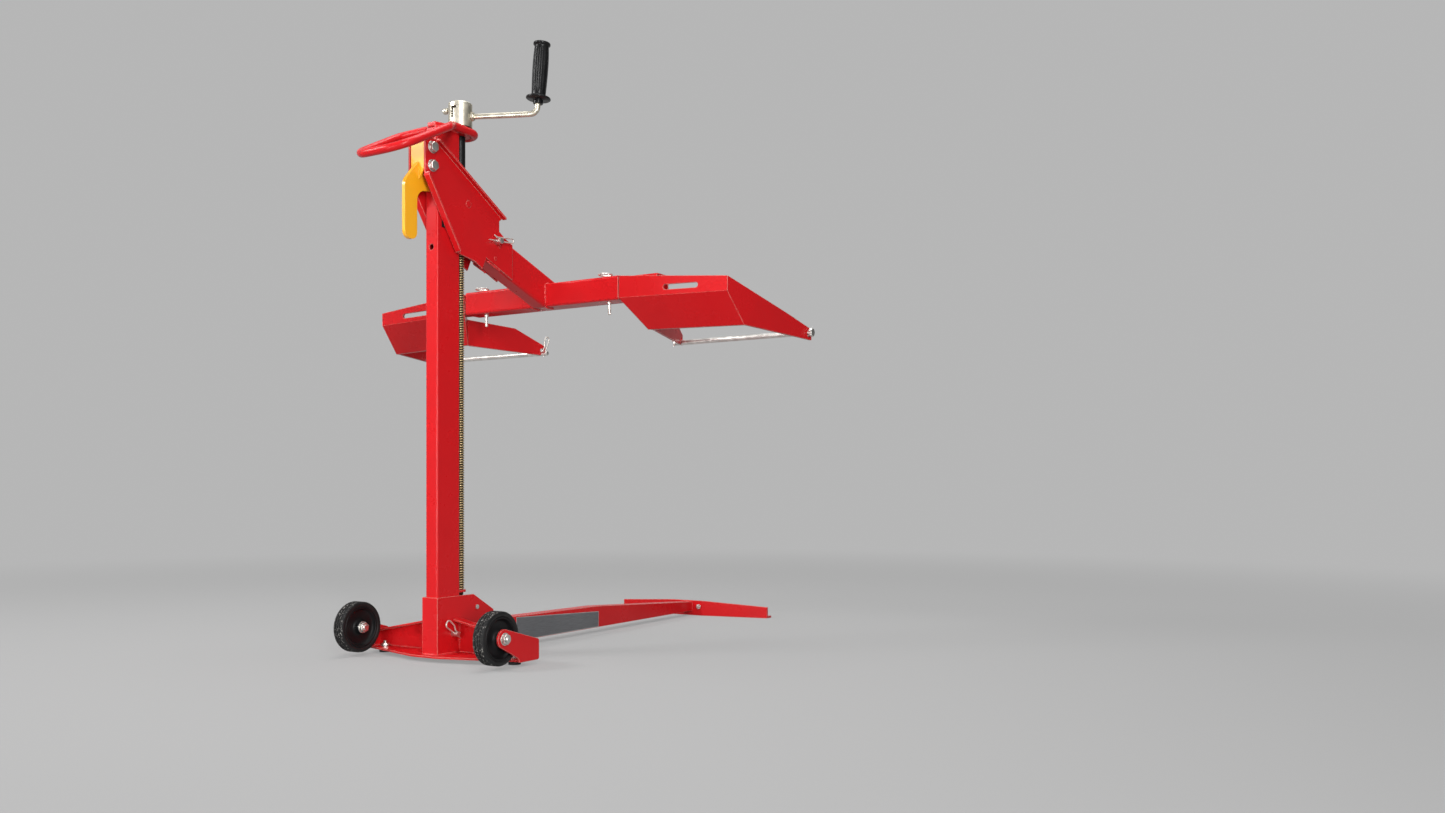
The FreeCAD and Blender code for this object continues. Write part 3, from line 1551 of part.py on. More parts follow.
def make_cradle(side, label):
    """The folded tray: a wall on the tube, a ramp below it and two flared arms."""
    body = new_body(f"Cradle_{label}")
    thick = size.tray_thickness
    wall_front = size.tube_forward - slide_half
    wall_rear = wall_front - thick
    bend = tube_height - size.tray_bend_drop
    lip_y, lip_z = wall_rear + size.tray_lip_forward, tube_height - size.tray_lip_drop
    arm_low = tube_height - size.arm_end_low_drop
    arm_top = tube_height - size.arm_end_top_drop
    rod_height = tube_height - size.rod_drop
    top = bend + size.tray_inner_rise
    inner, outer = cradle_inner, cradle_outer
    end_y = wall_rear + size.arm_end_forward
    end_inner = inner - size.arm_end_inner_flare
    end_outer = outer + size.arm_end_outer_flare
    over = size.overrun
    slant = thick * 1.4
    profile = [
        (wall_rear, top), (wall_rear, bend), (lip_y, lip_z), (lip_y + slant, lip_z),
        (wall_front, bend + thick * 0.3), (wall_front, top),
    ]
    slab(
        body, "YZ_Plane", side * end_inner, side * end_outer,
        lambda s: draw_polygon(s, profile),
    )
    low, high = arm_low - over * 2, top + over
    flare = size.arm_end_outer_flare / size.arm_end_forward
    inset = size.tray_inner_lip_inset / size.tray_lip_forward
    inner_front = inner + inset * (size.tray_lip_forward + slant)
    beyond_inner = [
        (side * (end_inner - over), wall_rear - over), (side * inner, wall_rear - over),
        (side * inner, wall_rear), (side * inner_front, lip_y + slant),
        (side * inner_front, lip_y + slant + over),
        (side * (end_inner - over), lip_y + slant + over),
    ]
    outer_front = outer + flare * (size.tray_lip_forward + slant)
    beyond_outer = [
        (side * (end_outer + over), wall_rear - over), (side * outer, wall_rear - over),
        (side * outer, wall_rear), (side * outer_front, lip_y + slant),
        (side * outer_front, lip_y + slant + over),
        (side * (end_outer + over), lip_y + slant + over),
    ]
    for outline in (beyond_inner, beyond_outer):
        cut_slab(body, "XY_Plane", low, high, lambda s: draw_polygon(s, outline))
    slope_cut = [
        (side * inner, top), (side * outer, bend + size.tray_outer_rise),
        (side * (outer + over), bend + size.tray_outer_rise), (side * (outer + over), top + over),
        (side * inner, top + over),
    ]
    cut_slab(
        body, "XZ_Plane", wall_rear - over, wall_front + over,
        lambda s: draw_polygon(s, slope_cut),
    )
    rib = size.tray_thickness
    inner_arm = [
        (side * inner, wall_rear), (side * inner_front, lip_y + slant),
        (side * end_inner, end_y), (side * (end_inner + rib), end_y),
        (side * (inner_front + rib), lip_y + slant + rib),
        (side * (inner + rib), wall_front),
    ]
    outer_arm = [
        (side * outer, wall_rear), (side * end_outer, end_y),
        (side * (end_outer - rib), end_y), (side * (outer - rib), wall_rear + rib),
    ]
    bottom, lid = arm_low - over, top
    slab(body, "XY_Plane", bottom, lid, lambda s: draw_polygon(s, inner_arm))
    slab(body, "XY_Plane", bottom, lid, lambda s: draw_polygon(s, outer_arm))
    under_wall = [
        (wall_rear - over, bottom - over), (end_y + over, bottom - over),
        (end_y + over, arm_low),
        (lip_y + slant + rib, lip_z), (lip_y, lip_z), (wall_rear, bend), (wall_rear - over, bend),
    ]
    cut_slab(
        body, "YZ_Plane", side * (end_inner - over), side * (end_outer + over),
        lambda s: draw_polygon(s, under_wall),
    )
    below_tube = tube_height - slide_half - size.side_play
    inner_top = [
        (wall_front, below_tube), (size.tube_forward + slide_half, below_tube),
        (wall_rear + size.inner_arm_knee_forward, tube_height - size.inner_arm_knee_drop),
        (end_y, arm_top), (end_y + over, arm_top), (end_y + over, lid + over),
        (wall_front, lid + over),
    ]
    outer_top = [
        (wall_rear - over, bend + size.tray_outer_rise),
        (wall_rear, bend + size.tray_outer_rise),
        (wall_rear + size.outer_arm_knee_forward, tube_height - size.outer_arm_knee_drop),
        (end_y, arm_top), (end_y + over, arm_top), (end_y + over, lid + over),
        (wall_rear - over, lid + over),
    ]
    halfway = (inner + outer) / 2
    cut_slab(
        body, "YZ_Plane", side * (end_inner - over), side * halfway,
        lambda s: draw_polygon(s, inner_top),
    )
    cut_slab(
        body, "YZ_Plane", side * (outer - rib), side * (end_outer + over),
        lambda s: draw_polygon(s, outer_top),
    )
    slot_height, slot_half = tube_height - size.tray_slot_drop, size.tray_slot_half
    slot_in = inner + size.tray_slot_inner
    slot_out = slot_in + size.tray_slot_length
    slot = rectangle(
        side * slot_in, side * slot_out, slot_height - slot_half, slot_height + slot_half
    )
    through = (wall_rear - over, wall_front + over)
    cut_slab(body, "XZ_Plane", *through, lambda s: draw_polygon(s, slot))
    for end in (slot_in, slot_out):
        cut_slab(
            body, "XZ_Plane", *through,
            lambda s: draw_circle(s, side * end, slot_height, slot_half),
        )
    cut_slab(
        body, "YZ_Plane", side * (end_inner - over), side * (end_outer + over),
        lambda s: draw_circle(
            s, end_y - size.rod_back, rod_height, size.rod_radius + size.pin_seat_gap
        ),
    )
    lean_outward(body, side)
    keep(body, f"cradle_{label}")
    rod_y = end_y - size.rod_back
    radius = size.rod_radius
    outer_seat = end_outer + size.pin_seat_gap
    inner_end = end_inner - size.rod_tail
    outline = [(0, inner_end), (radius, inner_end), (radius, outer_seat), (0, outer_seat)]
    rod = turned(f"Rod_{label}", outline, ZERO, rod_y, rod_height, along="X", flip=side < 0)
    slab(
        rod, "XY_Plane", outer_seat, outer_seat + size.rod_head_height,
        lambda s: draw_hexagon(s, ZERO, ZERO, size.rod_head_width),
    )
    clip_x = inner_end + size.rod_tail / 2 - rib * 0.2
    drill_clip_hole(rod, clip_x, side * size.rod_clip_angle)
    rod_x, rod_z = leaned(side, ZERO, rod_height)
    place(rod, rod_x, rod_y, rod_z, Vector(0, side, 0), 90 + size.cradle_lean_angle)
    keep(rod, f"cradle_rod_{label}")
    clip = make_clip(
        f"rod_clip_{label}", at(side * clip_x, rod_y, rod_height), size.rod_clip_angle, radius, 1,
        size.clip_tail, size.clip_reach, size.clip_loop,
    )
    lean_outward(clip, side)


def drill_clip_hole(pin, height, turn):
    """A cross hole for a spring clip, in a pin that is turned about its own axis."""
    plane = pin.newObject("PartDesign::Plane", "ClipPlane")
    plane.AttachmentSupport = [(origin_plane(pin, "XZ_Plane"), "")]
    plane.MapMode = "FlatFace"
    plane.AttachmentOffset = Placement(Vector(0, 0, 0), Rotation(Y_AXIS, turn.number))
    plane.setExpression(".AttachmentOffset.Rotation.Angle", turn.text)
    doc.recompute()
    volume = pin.Tip.Shape.Volume
    sketch = pin.newObject("Sketcher::SketchObject", "ClipHole")
    sketch.AttachmentSupport = [(plane, "")]
    sketch.MapMode = "FlatFace"
    draw_circle(sketch, ZERO, height, size.clip_wire + size.clip_hole_gap)
    hole = pin.newObject("PartDesign::Pocket", "ClipCut")
    hole.Profile = sketch
    hole.SideType = "Symmetric"
    hole.setExpression("Length", (size.hitch_pin_head_radius * 4).text)
    pin.Tip = hole
    doc.recompute()
    if not hole.Shape.Volume < volume - 1e-6:
        raise RuntimeError(f"the clip hole in {pin.Name} removes nothing")


def make_clip(label, centre, turn, pin_radius, flip, tail, reach, loop):
    """A spring clip: a straight leg through the pin, a round eye and a leg over the pin."""
    angle = math.radians(turn.number)
    along = Vector(0, math.cos(angle), math.sin(angle))
    across = Vector(0, -math.sin(angle), math.cos(angle)) * flip
    wire = size.clip_wire.number
    tail, reach, loop = tail.number, reach.number, loop.number
    bend = size.clip_bend.number
    ride = pin_radius.number + wire + size.clip_hole_gap.number
    spots = [
        (-tail, 0, 0), (reach, 0, loop * 0.45), (reach, loop, loop * 0.45),
        (ride * 1.9, loop * 0.8, bend), (ride * 0.75, ride, bend), (-ride * 0.75, ride, bend),
        (-ride * 1.8, ride * 1.5, 0),
    ]
    points = [centre + along * a + across * b for a, b, _ in spots]
    radii = [radius for _, _, radius in spots]
    return keep(bent_bar(label.title(), points, radii, wire, WIRE_SIDES), label)


def make_hitch_pin(name, forward, height, radius, head, side_face, turn, flip, *clip_sizes):
    """A pin through both side walls, with its head on the left and a clip on the right."""
    start = -side_face - size.hitch_pin_head_height
    stop = side_face + size.hitch_pin_tail
    outline = [
        (0, start), (head, start), (head, -side_face), (radius, -side_face),
        (radius, stop), (0, stop),
    ]
    pin = turned(f"HitchPin_{name}", outline, ZERO, forward, height, along="X")
    clip_x = side_face + size.hitch_pin_tail / 2
    drill_clip_hole(pin, clip_x, turn)
    keep(pin, f"{name}_pin")
    make_clip(f"{name}_clip", at(clip_x, forward, height), turn, radius, flip, *clip_sizes)


def make_lever():
    """The yellow safety lever: a channel on the upper bolt, a hooked pawl and a long blade."""
    body = new_body("Lever")
    half, web, thick = size.lever_half_width, size.lever_web, size.lever_blade_half
    rear = -size.lever_rear
    top = pivot_height + size.lever_top
    waist, web_low = pivot_height - size.lever_waist_drop, pivot_height - size.lever_web_drop
    back = [
        (-half, top), (half, top), (half, waist), (thick, web_low), (-thick, web_low),
        (-half, waist),
    ]
    slab(body, "XZ_Plane", rear, rear + web, lambda s: draw_polygon(s, back))
    ear_low = pivot_height - size.lever_ear_low
    ear = rectangle(rear + web, -size.lever_ear_front, ear_low, top)
    for side in (-1, 1):
        slab(
            body, "YZ_Plane", side * (half - web), side * half,
            lambda s: draw_polygon(s, ear),
        )
    blade_rear, blade_front = -size.lever_blade_rear, -size.lever_blade_front
    tip, pawl = pivot_height - size.lever_tip_drop, post_rear - size.lever_pawl_gap
    shoulder = (blade_rear, pivot_height - size.lever_shoulder_drop)
    throat = (blade_front, pivot_height - size.lever_throat_drop)
    blade = [
        (rear, pivot_height - size.lever_peak_drop), shoulder, (blade_rear, tip),
        (blade_front, tip), throat, (pawl, pivot_height - size.lever_pawl_low_drop),
        (pawl, pivot_height - size.lever_pawl_high_drop),
        (-size.lever_neck_back, pivot_height - size.lever_neck_drop),
        (rear + web, pivot_height - size.lever_root_drop),
        (rear + web, pivot_height - size.lever_peak_drop),
    ]
    slab(body, "YZ_Plane", -thick, thick, lambda s: draw_polygon(s, blade))
    for corners, radius in (
        ([shoulder], size.lever_shoulder_round),
        ([throat], size.lever_throat_round),
        ([(blade_rear, tip), (blade_front, tip)], size.lever_tip_round),
    ):
        round_corners(body, "YZ_Plane", corners, radius)
    cut_slab(
        body, "YZ_Plane", -half - size.overrun, half + size.overrun,
        lambda s: draw_circle(
            s, -size.guide_bolt_back, pivot_height, size.guide_bolt_radius + size.pin_seat_gap
        ),
    )
    return keep(body, "safety_lever")


def check_model():
    for item in doc.Objects:
        if "Invalid" in item.State or "Error" in item.State:
            raise RuntimeError(f"{item.Label} failed: {item.State}")
    for node in nodes:
        shape = node.Shape
        if shape.isNull() or not shape.isValid():
            raise RuntimeError(f"{node.Label} has no valid shape")
        if len(shape.Solids) != 1:
            raise RuntimeError(f"{node.Label} has {len(shape.Solids)} solids")


make_post()
make_top_plate()
make_handle()
make_socket()
make_cross_beam()
make_forward_beam()
make_t_bar()
make_small_bolts()
make_lower_bearing()
make_screw()
make_crank_head()
make_crank_arm()
make_grip()
make_guide()
make_arm()
make_cross_tube()
make_lever()
make_hitch_pin(
    "base", size.base_pin_forward, size.base_pin_height, size.base_pin_radius,
    size.base_pin_head_radius, socket_side, size.base_clip_angle, -1,
    size.clip_tail, size.clip_reach, size.clip_loop,
)
make_hitch_pin(
    "arm", arm_pin_forward, arm_pin_height, size.hitch_pin_radius,
    size.hitch_pin_head_radius, plate_outer, size.arm_clip_angle, 1,
    size.arm_clip_tail, size.arm_clip_reach, size.arm_clip_loop,
)
for side, label in ((-1, "left"), (1, "right")):
    make_axle_plate(side, label)
    make_wheel(side, label)
    make_axle(side, label)
    make_foot(side, label)
    make_side_plate(side, label)
    make_liner(side, label)
    make_lock_pin(side, label)
    make_cradle_tube(side, label)
    make_cradle(side, label)

doc.recompute()
check_model()
os.makedirs("parts", exist_ok=True)
for node in nodes:
    node.Shape.exportStep(f"parts/{node.Label}.step")
print(f"{len(nodes)} sub-parts written")
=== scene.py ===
import json
import math

import bmesh
import bpy
from bpy.props import FloatProperty, FloatVectorProperty, IntProperty, PointerProperty
from mathutils import Matrix, Vector, noise

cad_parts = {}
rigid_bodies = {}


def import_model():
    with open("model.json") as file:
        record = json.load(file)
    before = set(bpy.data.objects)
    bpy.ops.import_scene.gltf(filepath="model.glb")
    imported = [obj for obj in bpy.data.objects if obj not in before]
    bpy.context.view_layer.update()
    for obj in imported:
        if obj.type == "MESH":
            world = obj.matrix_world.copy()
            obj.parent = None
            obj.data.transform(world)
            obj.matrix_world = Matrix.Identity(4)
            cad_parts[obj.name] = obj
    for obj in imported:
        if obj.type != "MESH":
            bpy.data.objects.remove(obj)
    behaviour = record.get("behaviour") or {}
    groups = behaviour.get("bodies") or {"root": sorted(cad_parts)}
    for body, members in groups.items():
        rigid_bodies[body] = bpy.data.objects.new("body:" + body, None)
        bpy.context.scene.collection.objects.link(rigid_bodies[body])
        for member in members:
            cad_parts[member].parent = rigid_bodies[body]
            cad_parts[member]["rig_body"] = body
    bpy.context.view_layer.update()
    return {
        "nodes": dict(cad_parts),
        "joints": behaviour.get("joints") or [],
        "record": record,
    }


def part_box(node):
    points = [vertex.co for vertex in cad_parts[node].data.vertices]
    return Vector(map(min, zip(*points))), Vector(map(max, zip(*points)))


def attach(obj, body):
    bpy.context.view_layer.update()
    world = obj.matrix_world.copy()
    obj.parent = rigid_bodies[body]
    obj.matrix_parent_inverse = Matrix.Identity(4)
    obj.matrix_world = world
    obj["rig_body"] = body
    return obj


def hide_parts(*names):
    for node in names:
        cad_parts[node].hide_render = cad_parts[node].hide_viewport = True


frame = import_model()
NODES = frame["nodes"]

bl_info = {
    "name": "Mower lift",
    "version": (1, 0, 0),
    "blender": (4, 5, 0),
    "location": "3D View > Sidebar > Mower lift",
    "description": "Finishes, fasteners, welds and the stage of a crank-operated mower lift",
    "category": "Object",
}

SIDES = ("left", "right")
X_AXIS = Vector((1, 0, 0))
Y_AXIS = Vector((0, 1, 0))
Z_AXIS = Vector((0, 0, 1))


class FinishSettings(bpy.types.PropertyGroup):
    """Colours and gloss of the lift's finishes."""

    red: FloatVectorProperty(
        name="Frame red", description="Powder coat of the frame, the arm and the cradles",
        default=(0.58, 0.009, 0.012), subtype="COLOR", min=0, max=1,
    )
    yellow: FloatVectorProperty(
        name="Lever yellow", description="Powder coat of the safety lever",
        default=(0.9, 0.42, 0.012), subtype="COLOR", min=0, max=1,
    )
    zinc: FloatVectorProperty(
        name="Zinc", description="Plating of the bolts, pins and clips",
        default=(0.78, 0.76, 0.72), subtype="COLOR", min=0, max=1,
    )
    crank_zinc: FloatVectorProperty(
        name="Crank zinc", description="Warm zinc plating of the crank",
        default=(0.7, 0.65, 0.53), subtype="COLOR", min=0, max=1,
    )
    screw: FloatVectorProperty(
        name="Screw", description="Yellow passivated steel of the lift screw",
        default=(0.5, 0.37, 0.19), subtype="COLOR", min=0, max=1,
    )
    black: FloatVectorProperty(
        name="Black", description="Plastic of the hubs and the grip",
        default=(0.006, 0.006, 0.0065), subtype="COLOR", min=0, max=1,
    )
    tyre: FloatVectorProperty(
        name="Tyre rubber", description="Rubber of the tyres and the feet",
        default=(0.012, 0.012, 0.0125), subtype="COLOR", min=0, max=1,
    )
    plate: FloatVectorProperty(
        name="Bare label plate", description="The plain plate on the long beam",
        default=(0.2, 0.205, 0.215), subtype="COLOR", min=0, max=1,
    )
    bronze: FloatVectorProperty(
        name="Bronze", description="Nut on the lift screw",
        default=(0.5, 0.34, 0.14), subtype="COLOR", min=0, max=1,
    )
    wire: FloatVectorProperty(
        name="Wire", description="Bright wire of the spring clips and the rings",
        default=(0.86, 0.8, 0.74), subtype="COLOR", min=0, max=1,
    )
    border: FloatVectorProperty(
        name="Label border", description="Pale rim of the plain plate",
        default=(0.5, 0.5, 0.5), subtype="COLOR", min=0, max=1,
    )
    gloss: FloatProperty(
        name="Coat roughness", description="Roughness of the powder coat",
        default=0.27, min=0.05, max=1,
    )


class HardwareSettings(bpy.types.PropertyGroup):
    """Sizes of the pieces that the solids leave plain."""

    thread_pitch: FloatProperty(
        name="Screw lead", description="Lead of the lift screw's thread",
        default=0.005, unit="LENGTH",
    )
    thread_depth: FloatProperty(
        name="Thread depth", description="Depth of the lift screw's thread",
        default=0.0021, unit="LENGTH",
    )
    weld_radius: FloatProperty(
        name="Weld bead", description="Half width of a weld bead",
        default=0.003, unit="LENGTH",
    )
    weld_pitch: FloatProperty(
        name="Weld ripple", description="Distance between the ripples of a weld",
        default=0.0042, unit="LENGTH",
    )
    flutes: IntProperty(
        name="Grip flutes", description="Flutes round the crank's grip", default=14, min=3,
    )
    flute_depth: FloatProperty(
        name="Flute depth", description="Depth of a flute of the grip",
        default=0.0005, unit="LENGTH",
    )


class StageSettings(bpy.types.PropertyGroup):
    """The photograph's viewpoint and the studio."""

    camera_place: FloatVectorProperty(
        name="Camera", description="Place of the camera", default=(1.615, -1.6746, 0.334),
        subtype="XYZ", unit="LENGTH",
    )
    camera_turn: FloatProperty(
        name="Camera turn", description="Turn of the view from +Y towards -X",
        default=math.radians(30), subtype="ANGLE",
    )
    lens: FloatProperty(name="Lens", description="Focal length on 36 mm", default=28.02)
    rise: FloatProperty(name="Rise", description="Upward shift of the view", default=0.0592)
    backdrop: FloatProperty(
        name="Backdrop", description="Brightness of the backdrop", default=0.47, min=0, max=1,
    )
    floor_share: FloatProperty(
        name="Lit share", description="Share of the floor's brightness that comes from the lamps",
        default=0.42, min=0, max=1,
    )
    ambient: FloatProperty(
        name="Ambient", description="Light that comes from all sides", default=0.26, min=0, max=2,
    )


class Value:
    """A socket of a node that takes part in sums."""

    def __init__(self, nodes, socket):
        self.nodes = nodes
        self.socket = socket

    def math(self, operation, *values):
        return self.nodes.add(
            "ShaderNodeMath", {"operation": operation}, dict(enumerate(values))
        )

    def __add__(self, other):
        return self.math("ADD", self, other)

    def __radd__(self, other):
        return self.math("ADD", other, self)

    def __sub__(self, other):
        return self.math("SUBTRACT", self, other)

    def __rsub__(self, other):
        return self.math("SUBTRACT", other, self)

    def __mul__(self, other):
        return self.math("MULTIPLY", self, other)

    def __rmul__(self, other):
        return self.math("MULTIPLY", other, self)

    def __pow__(self, other):
        return self.math("POWER", self, other)

    def __rpow__(self, other):
        return self.math("POWER", other, self)

    def greater(self, other):
        return self.math("MAXIMUM", self, other)

    def between(self, low, high):
        """Smoothly 0 below the low value and 1 above the high one."""
        return self.nodes.add(
            "ShaderNodeMapRange", {"interpolation_type": "SMOOTHSTEP"},
            {"Value": self, "From Min": low, "From Max": high},
        )


class Nodes:
    """Adds nodes to the tree of a material or a world."""

    def __init__(self, tree):
        self.tree = tree

    def feed(self, socket, value):
        if isinstance(value, Value):
            self.tree.links.new(value.socket, socket)
        elif socket.type == "RGBA" and len(value) == 3:
            socket.default_value = (*value, 1)
        else:
            socket.default_value = value

    def find(self, sockets, key):
        """A socket by its number, or the one in use that has the name."""
        if isinstance(key, int):
            return sockets[key]
        return next(socket for socket in sockets if socket.name == key and socket.enabled)

    def add(self, kind, settings=None, values=None, output=0):
        node = self.tree.nodes.new(kind)
        for name, setting in (settings or {}).items():
            setattr(node, name, setting)
        for key, value in (values or {}).items():
            self.feed(self.find(node.inputs, key), value)
        return Value(self, self.find(node.outputs, output))

    def place(self, kind="Object"):
        return self.add("ShaderNodeTexCoord", output=kind)

    def noise(self, scale, detail=2.0, roughness=0.5, place=None):
        values = {
            "Vector": place or self.place(), "Scale": scale, "Detail": detail,
            "Roughness": roughness,
        }
        return self.add("ShaderNodeTexNoise", {"noise_dimensions": "3D"}, values)

    def parts(self, value, *letters):
        """The named parts of a place."""
        return [
            self.add("ShaderNodeSeparateXYZ", {}, {"Vector": value}, letter)
            for letter in letters
        ]

    def distance(self, middle, *letters):
        """Distance from a line through a middle, along the axis that has no letter."""
        first, second = (
            part - middle["XYZ".index(letter)]
            for letter, part in zip(letters, self.parts(self.place(), *letters))
        )
        return (first * first + second * second) ** 0.5

    def mix(self, factor, first, second):
        values = {"Factor": factor, "A": first, "B": second}
        return self.add("ShaderNodeMix", {"data_type": "RGBA"}, values, "Result")

    def rays(self, *names):
        """For each kind of ray, 1 where such a ray asks for the colour."""
        return [self.add("ShaderNodeLightPath", output=name) for name in names]


class Finish(Nodes):
    """A material that is built from nodes."""

    SOCKETS = {
        "color": "Base Color", "roughness": "Roughness", "metallic": "Metallic",
        "normal": "Normal", "coat": "Coat Weight", "coat_roughness": "Coat Roughness",
        "specular": "Specular IOR Level", "glow": "Emission Color",
        "glow_strength": "Emission Strength",
    }

    def __init__(self, name):
        self.material = bpy.data.materials.new(name)
        self.material.use_nodes = True
        super().__init__(self.material.node_tree)

    def soft_edges(self, radius):
        return self.add("ShaderNodeBevel", {"samples": 4}, {"Radius": radius})

    def edge_mask(self, soft):
        """1 along the edges of a piece, from the bend of its softened surface."""
        true = self.add("ShaderNodeNewGeometry", output="True Normal")
        facing = self.add(
            "ShaderNodeVectorMath", {"operation": "DOT_PRODUCT"}, {0: soft, 1: true}, "Value",
        )
        return 1 - facing.between(0.72, 0.995)

    def bump(self, height, distance, strength=1.0, normal=None):
        values = {"Height": height, "Distance": distance, "Strength": strength}
        if normal is not None:
            values["Normal"] = normal
        return self.add("ShaderNodeBump", {}, values)

    def use(self, **values):
        """Feeds the shader and gives the finished material."""
        shader = self.tree.nodes["Principled BSDF"]
        for name, value in values.items():
            self.feed(shader.inputs[self.SOCKETS[name]], value)
        return self.material


def grey(tone):
    return (tone, tone, tone)


def darker(color, share):
    return tuple(channel * share for channel in color)


def towards(color, other, share):
    return tuple(a + (b - a) * share for a, b in zip(color, other))


def powder_coat(name, color, roughness, edge=0.0022, edge_highlight=0.8, specular=0.22, coat=0.0):
    """Sprayed and baked paint: a fine orange peel, softer edges with a painted highlight along
    them, and a little dust.
    """
    finish = Finish(name)
    soft = finish.soft_edges(edge)
    rim = finish.edge_mask(soft)
    dust = finish.noise(9.0, 5.0, 0.6).between(0.42, 0.75)
    speck = finish.noise(420.0, 2.0, 0.6).between(0.66, 0.74)
    base = finish.mix(dust * 0.5, color, darker(color, 0.86))
    # Paler edges: a painted highlight along the edges of the piece.
    base = finish.mix(rim * edge_highlight, base, towards(color, (1.0, 0.72, 0.62), 0.65))
    base = finish.mix(speck * 0.12, base, darker(color, 0.5))
    peel = finish.noise(900.0, 1.0, 0.4) * 0.7 + finish.noise(260.0, 1.0, 0.4) * 0.3
    return finish.use(
        color=base, roughness=roughness + dust * 0.1 + rim * 0.05,
        normal=finish.bump(peel, 0.0001, 0.3, soft), coat=coat, coat_roughness=0.2,
        specular=specular,
    )


def zinc_wire(name, color):
    """Bright plated wire with fine drawing marks."""
    finish = Finish(name)
    cloud = finish.noise(90.0, 4.0, 0.6).between(0.35, 0.7)
    return finish.use(
        color=finish.mix(cloud, darker(color, 0.8), color), metallic=0.72,
        roughness=0.3 + cloud * 0.1, specular=0.5,
        normal=finish.bump(finish.noise(900.0, 2.0), 0.00002, 0.3),
    )


def zinc_plate(name, color, roughness=0.26, edge=0.0005):
    """Plated steel with a cloudy bloom, handling marks, a painted highlight along the edges and
    painted shade in the recesses.
    """
    finish = Finish(name)
    soft = finish.soft_edges(edge)
    rim = finish.edge_mask(soft)
    cloud = finish.noise(70.0, 4.0, 0.6).between(0.35, 0.7)
    mark = finish.noise(1200.0, 3.0, 0.7)
    painted_shade_openness = finish.add(
        "ShaderNodeAmbientOcclusion", {"samples": 6}, {"Distance": 0.014}, output="AO",
    )
    base = finish.mix(cloud, darker(color, 0.78), color)
    # Painted highlight along the edges.
    base = finish.mix(rim * 0.6, base, towards(color, (1, 1, 1), 0.5))
    # Painted shade: darker where the surface is shut in.
    base = finish.mix(painted_shade_openness.between(0.05, 0.6), darker(color, 0.07), base)
    return finish.use(
        color=base, metallic=0.94, roughness=roughness + cloud * 0.14 + mark * 0.08,
        normal=finish.bump(mark, 0.00005, 0.3, soft),
    )


def threaded_steel(name, color):
    """The lift screw: the roots of the thread darkened as painted shade, and a mottle of grime."""
    finish = Finish(name)
    settings = bpy.context.scene.lift_hardware
    centre, radius = screw_line()
    reach = finish.distance(centre, "X", "Y")
    crest = reach.between(radius - settings.thread_depth * 0.7, radius - 0.0001)
    grime = finish.noise(60.0, 4.0, 0.6).between(0.35, 0.7)
    # Painted shade: the roots of the thread are darkened.
    base = finish.mix(crest, darker(color, 0.08), color)
    base = finish.mix(grime * 0.25, base, darker(color, 0.3))
    return finish.use(
        color=base, metallic=0.75, roughness=0.5 - crest * 0.16 + grime * 0.15,
        normal=finish.bump(finish.noise(900.0, 2.0), 0.00006, 0.4),
    )


def moulded(name, color, roughness=0.36, grain=1100.0, edge=0.0006, depth=0.00002):
    """Moulded plastic with a fine spark-eroded grain, faint rubbed patches, and paler edges as a
    painted highlight.
    """
    finish = Finish(name)
    rub = finish.noise(40.0, 4.0, 0.6).between(0.4, 0.75)
    base = finish.mix(rub * 0.4, color, towards(color, (0.3, 0.3, 0.3), 0.03))
    soft = None
    if edge:
        soft = finish.soft_edges(edge)
        rim = finish.edge_mask(soft)
        # Paler edges: a painted highlight.
        base = finish.mix(rim * 0.5, base, towards(color, (0.4, 0.4, 0.4), 0.08))
    return finish.use(
        color=base, roughness=roughness + rub * 0.1,
        normal=finish.bump(finish.noise(grain, 2.0, 0.6), depth, 0.4, soft), specular=0.2,
    )


def tyre_rubber(name, color):
    """Smooth dark walls, and a tread with pale grit that sticks in its pores."""
    finish = Finish(name)
    middle, radius = node_middle("tyre_right"), node_size("tyre_right").y / 2
    reach = finish.distance(middle, "Y", "Z")
    tread = reach.between(radius * 0.955, radius * 0.985)
    pores = finish.noise(520.0, 4.0, 0.7)
    grit = finish.noise(210.0, 4.0, 0.75).between(0.55, 0.66)
    film = finish.noise(35.0, 4.0, 0.6).between(0.4, 0.75)
    base = finish.mix(film * 0.4, color, towards(color, (0.28, 0.26, 0.24), 0.08))
    base = finish.mix(grit * tread * 0.8, base, (0.42, 0.4, 0.37))
    return finish.use(
        color=base, roughness=0.42 + tread * 0.3,
        normal=finish.bump(pores * (tread * 0.8 + 0.2), 0.0004, 0.5), specular=0.2,
    )


def rubber(name, color):
    """Rubber with pores and a thin film of dust."""
    finish = Finish(name)
    film = finish.noise(25.0, 4.0, 0.6).between(0.35, 0.75)
    base = finish.mix(film * 0.5, color, towards(color, (0.28, 0.26, 0.24), 0.12))
    return finish.use(
        color=base, roughness=0.62 + film * 0.2,
        normal=finish.bump(finish.noise(520.0, 4.0, 0.7), 0.0004, 0.5), specular=0.3,
    )


def label_plate(name, color):
    """A bare foil plate with a brushed grain."""
    finish = Finish(name)
    stretched = finish.add(
        "ShaderNodeMapping", {}, {"Vector": finish.place(), "Scale": (30.0, 0.6, 30.0)}
    )
    grain = finish.noise(60.0, 4.0, 0.7, stretched)
    fade = finish.noise(5.0, 2.0, 0.5).between(0.35, 0.65)
    base = finish.mix(grain.between(0.35, 0.65), darker(color, 0.6), color)
    base = finish.mix(fade * 0.4, base, darker(color, 0.6))
    return finish.use(
        color=base, metallic=0.25, roughness=0.4 + grain * 0.15,
        normal=finish.bump(grain, 0.00005, 0.3), specular=0.25,
    )


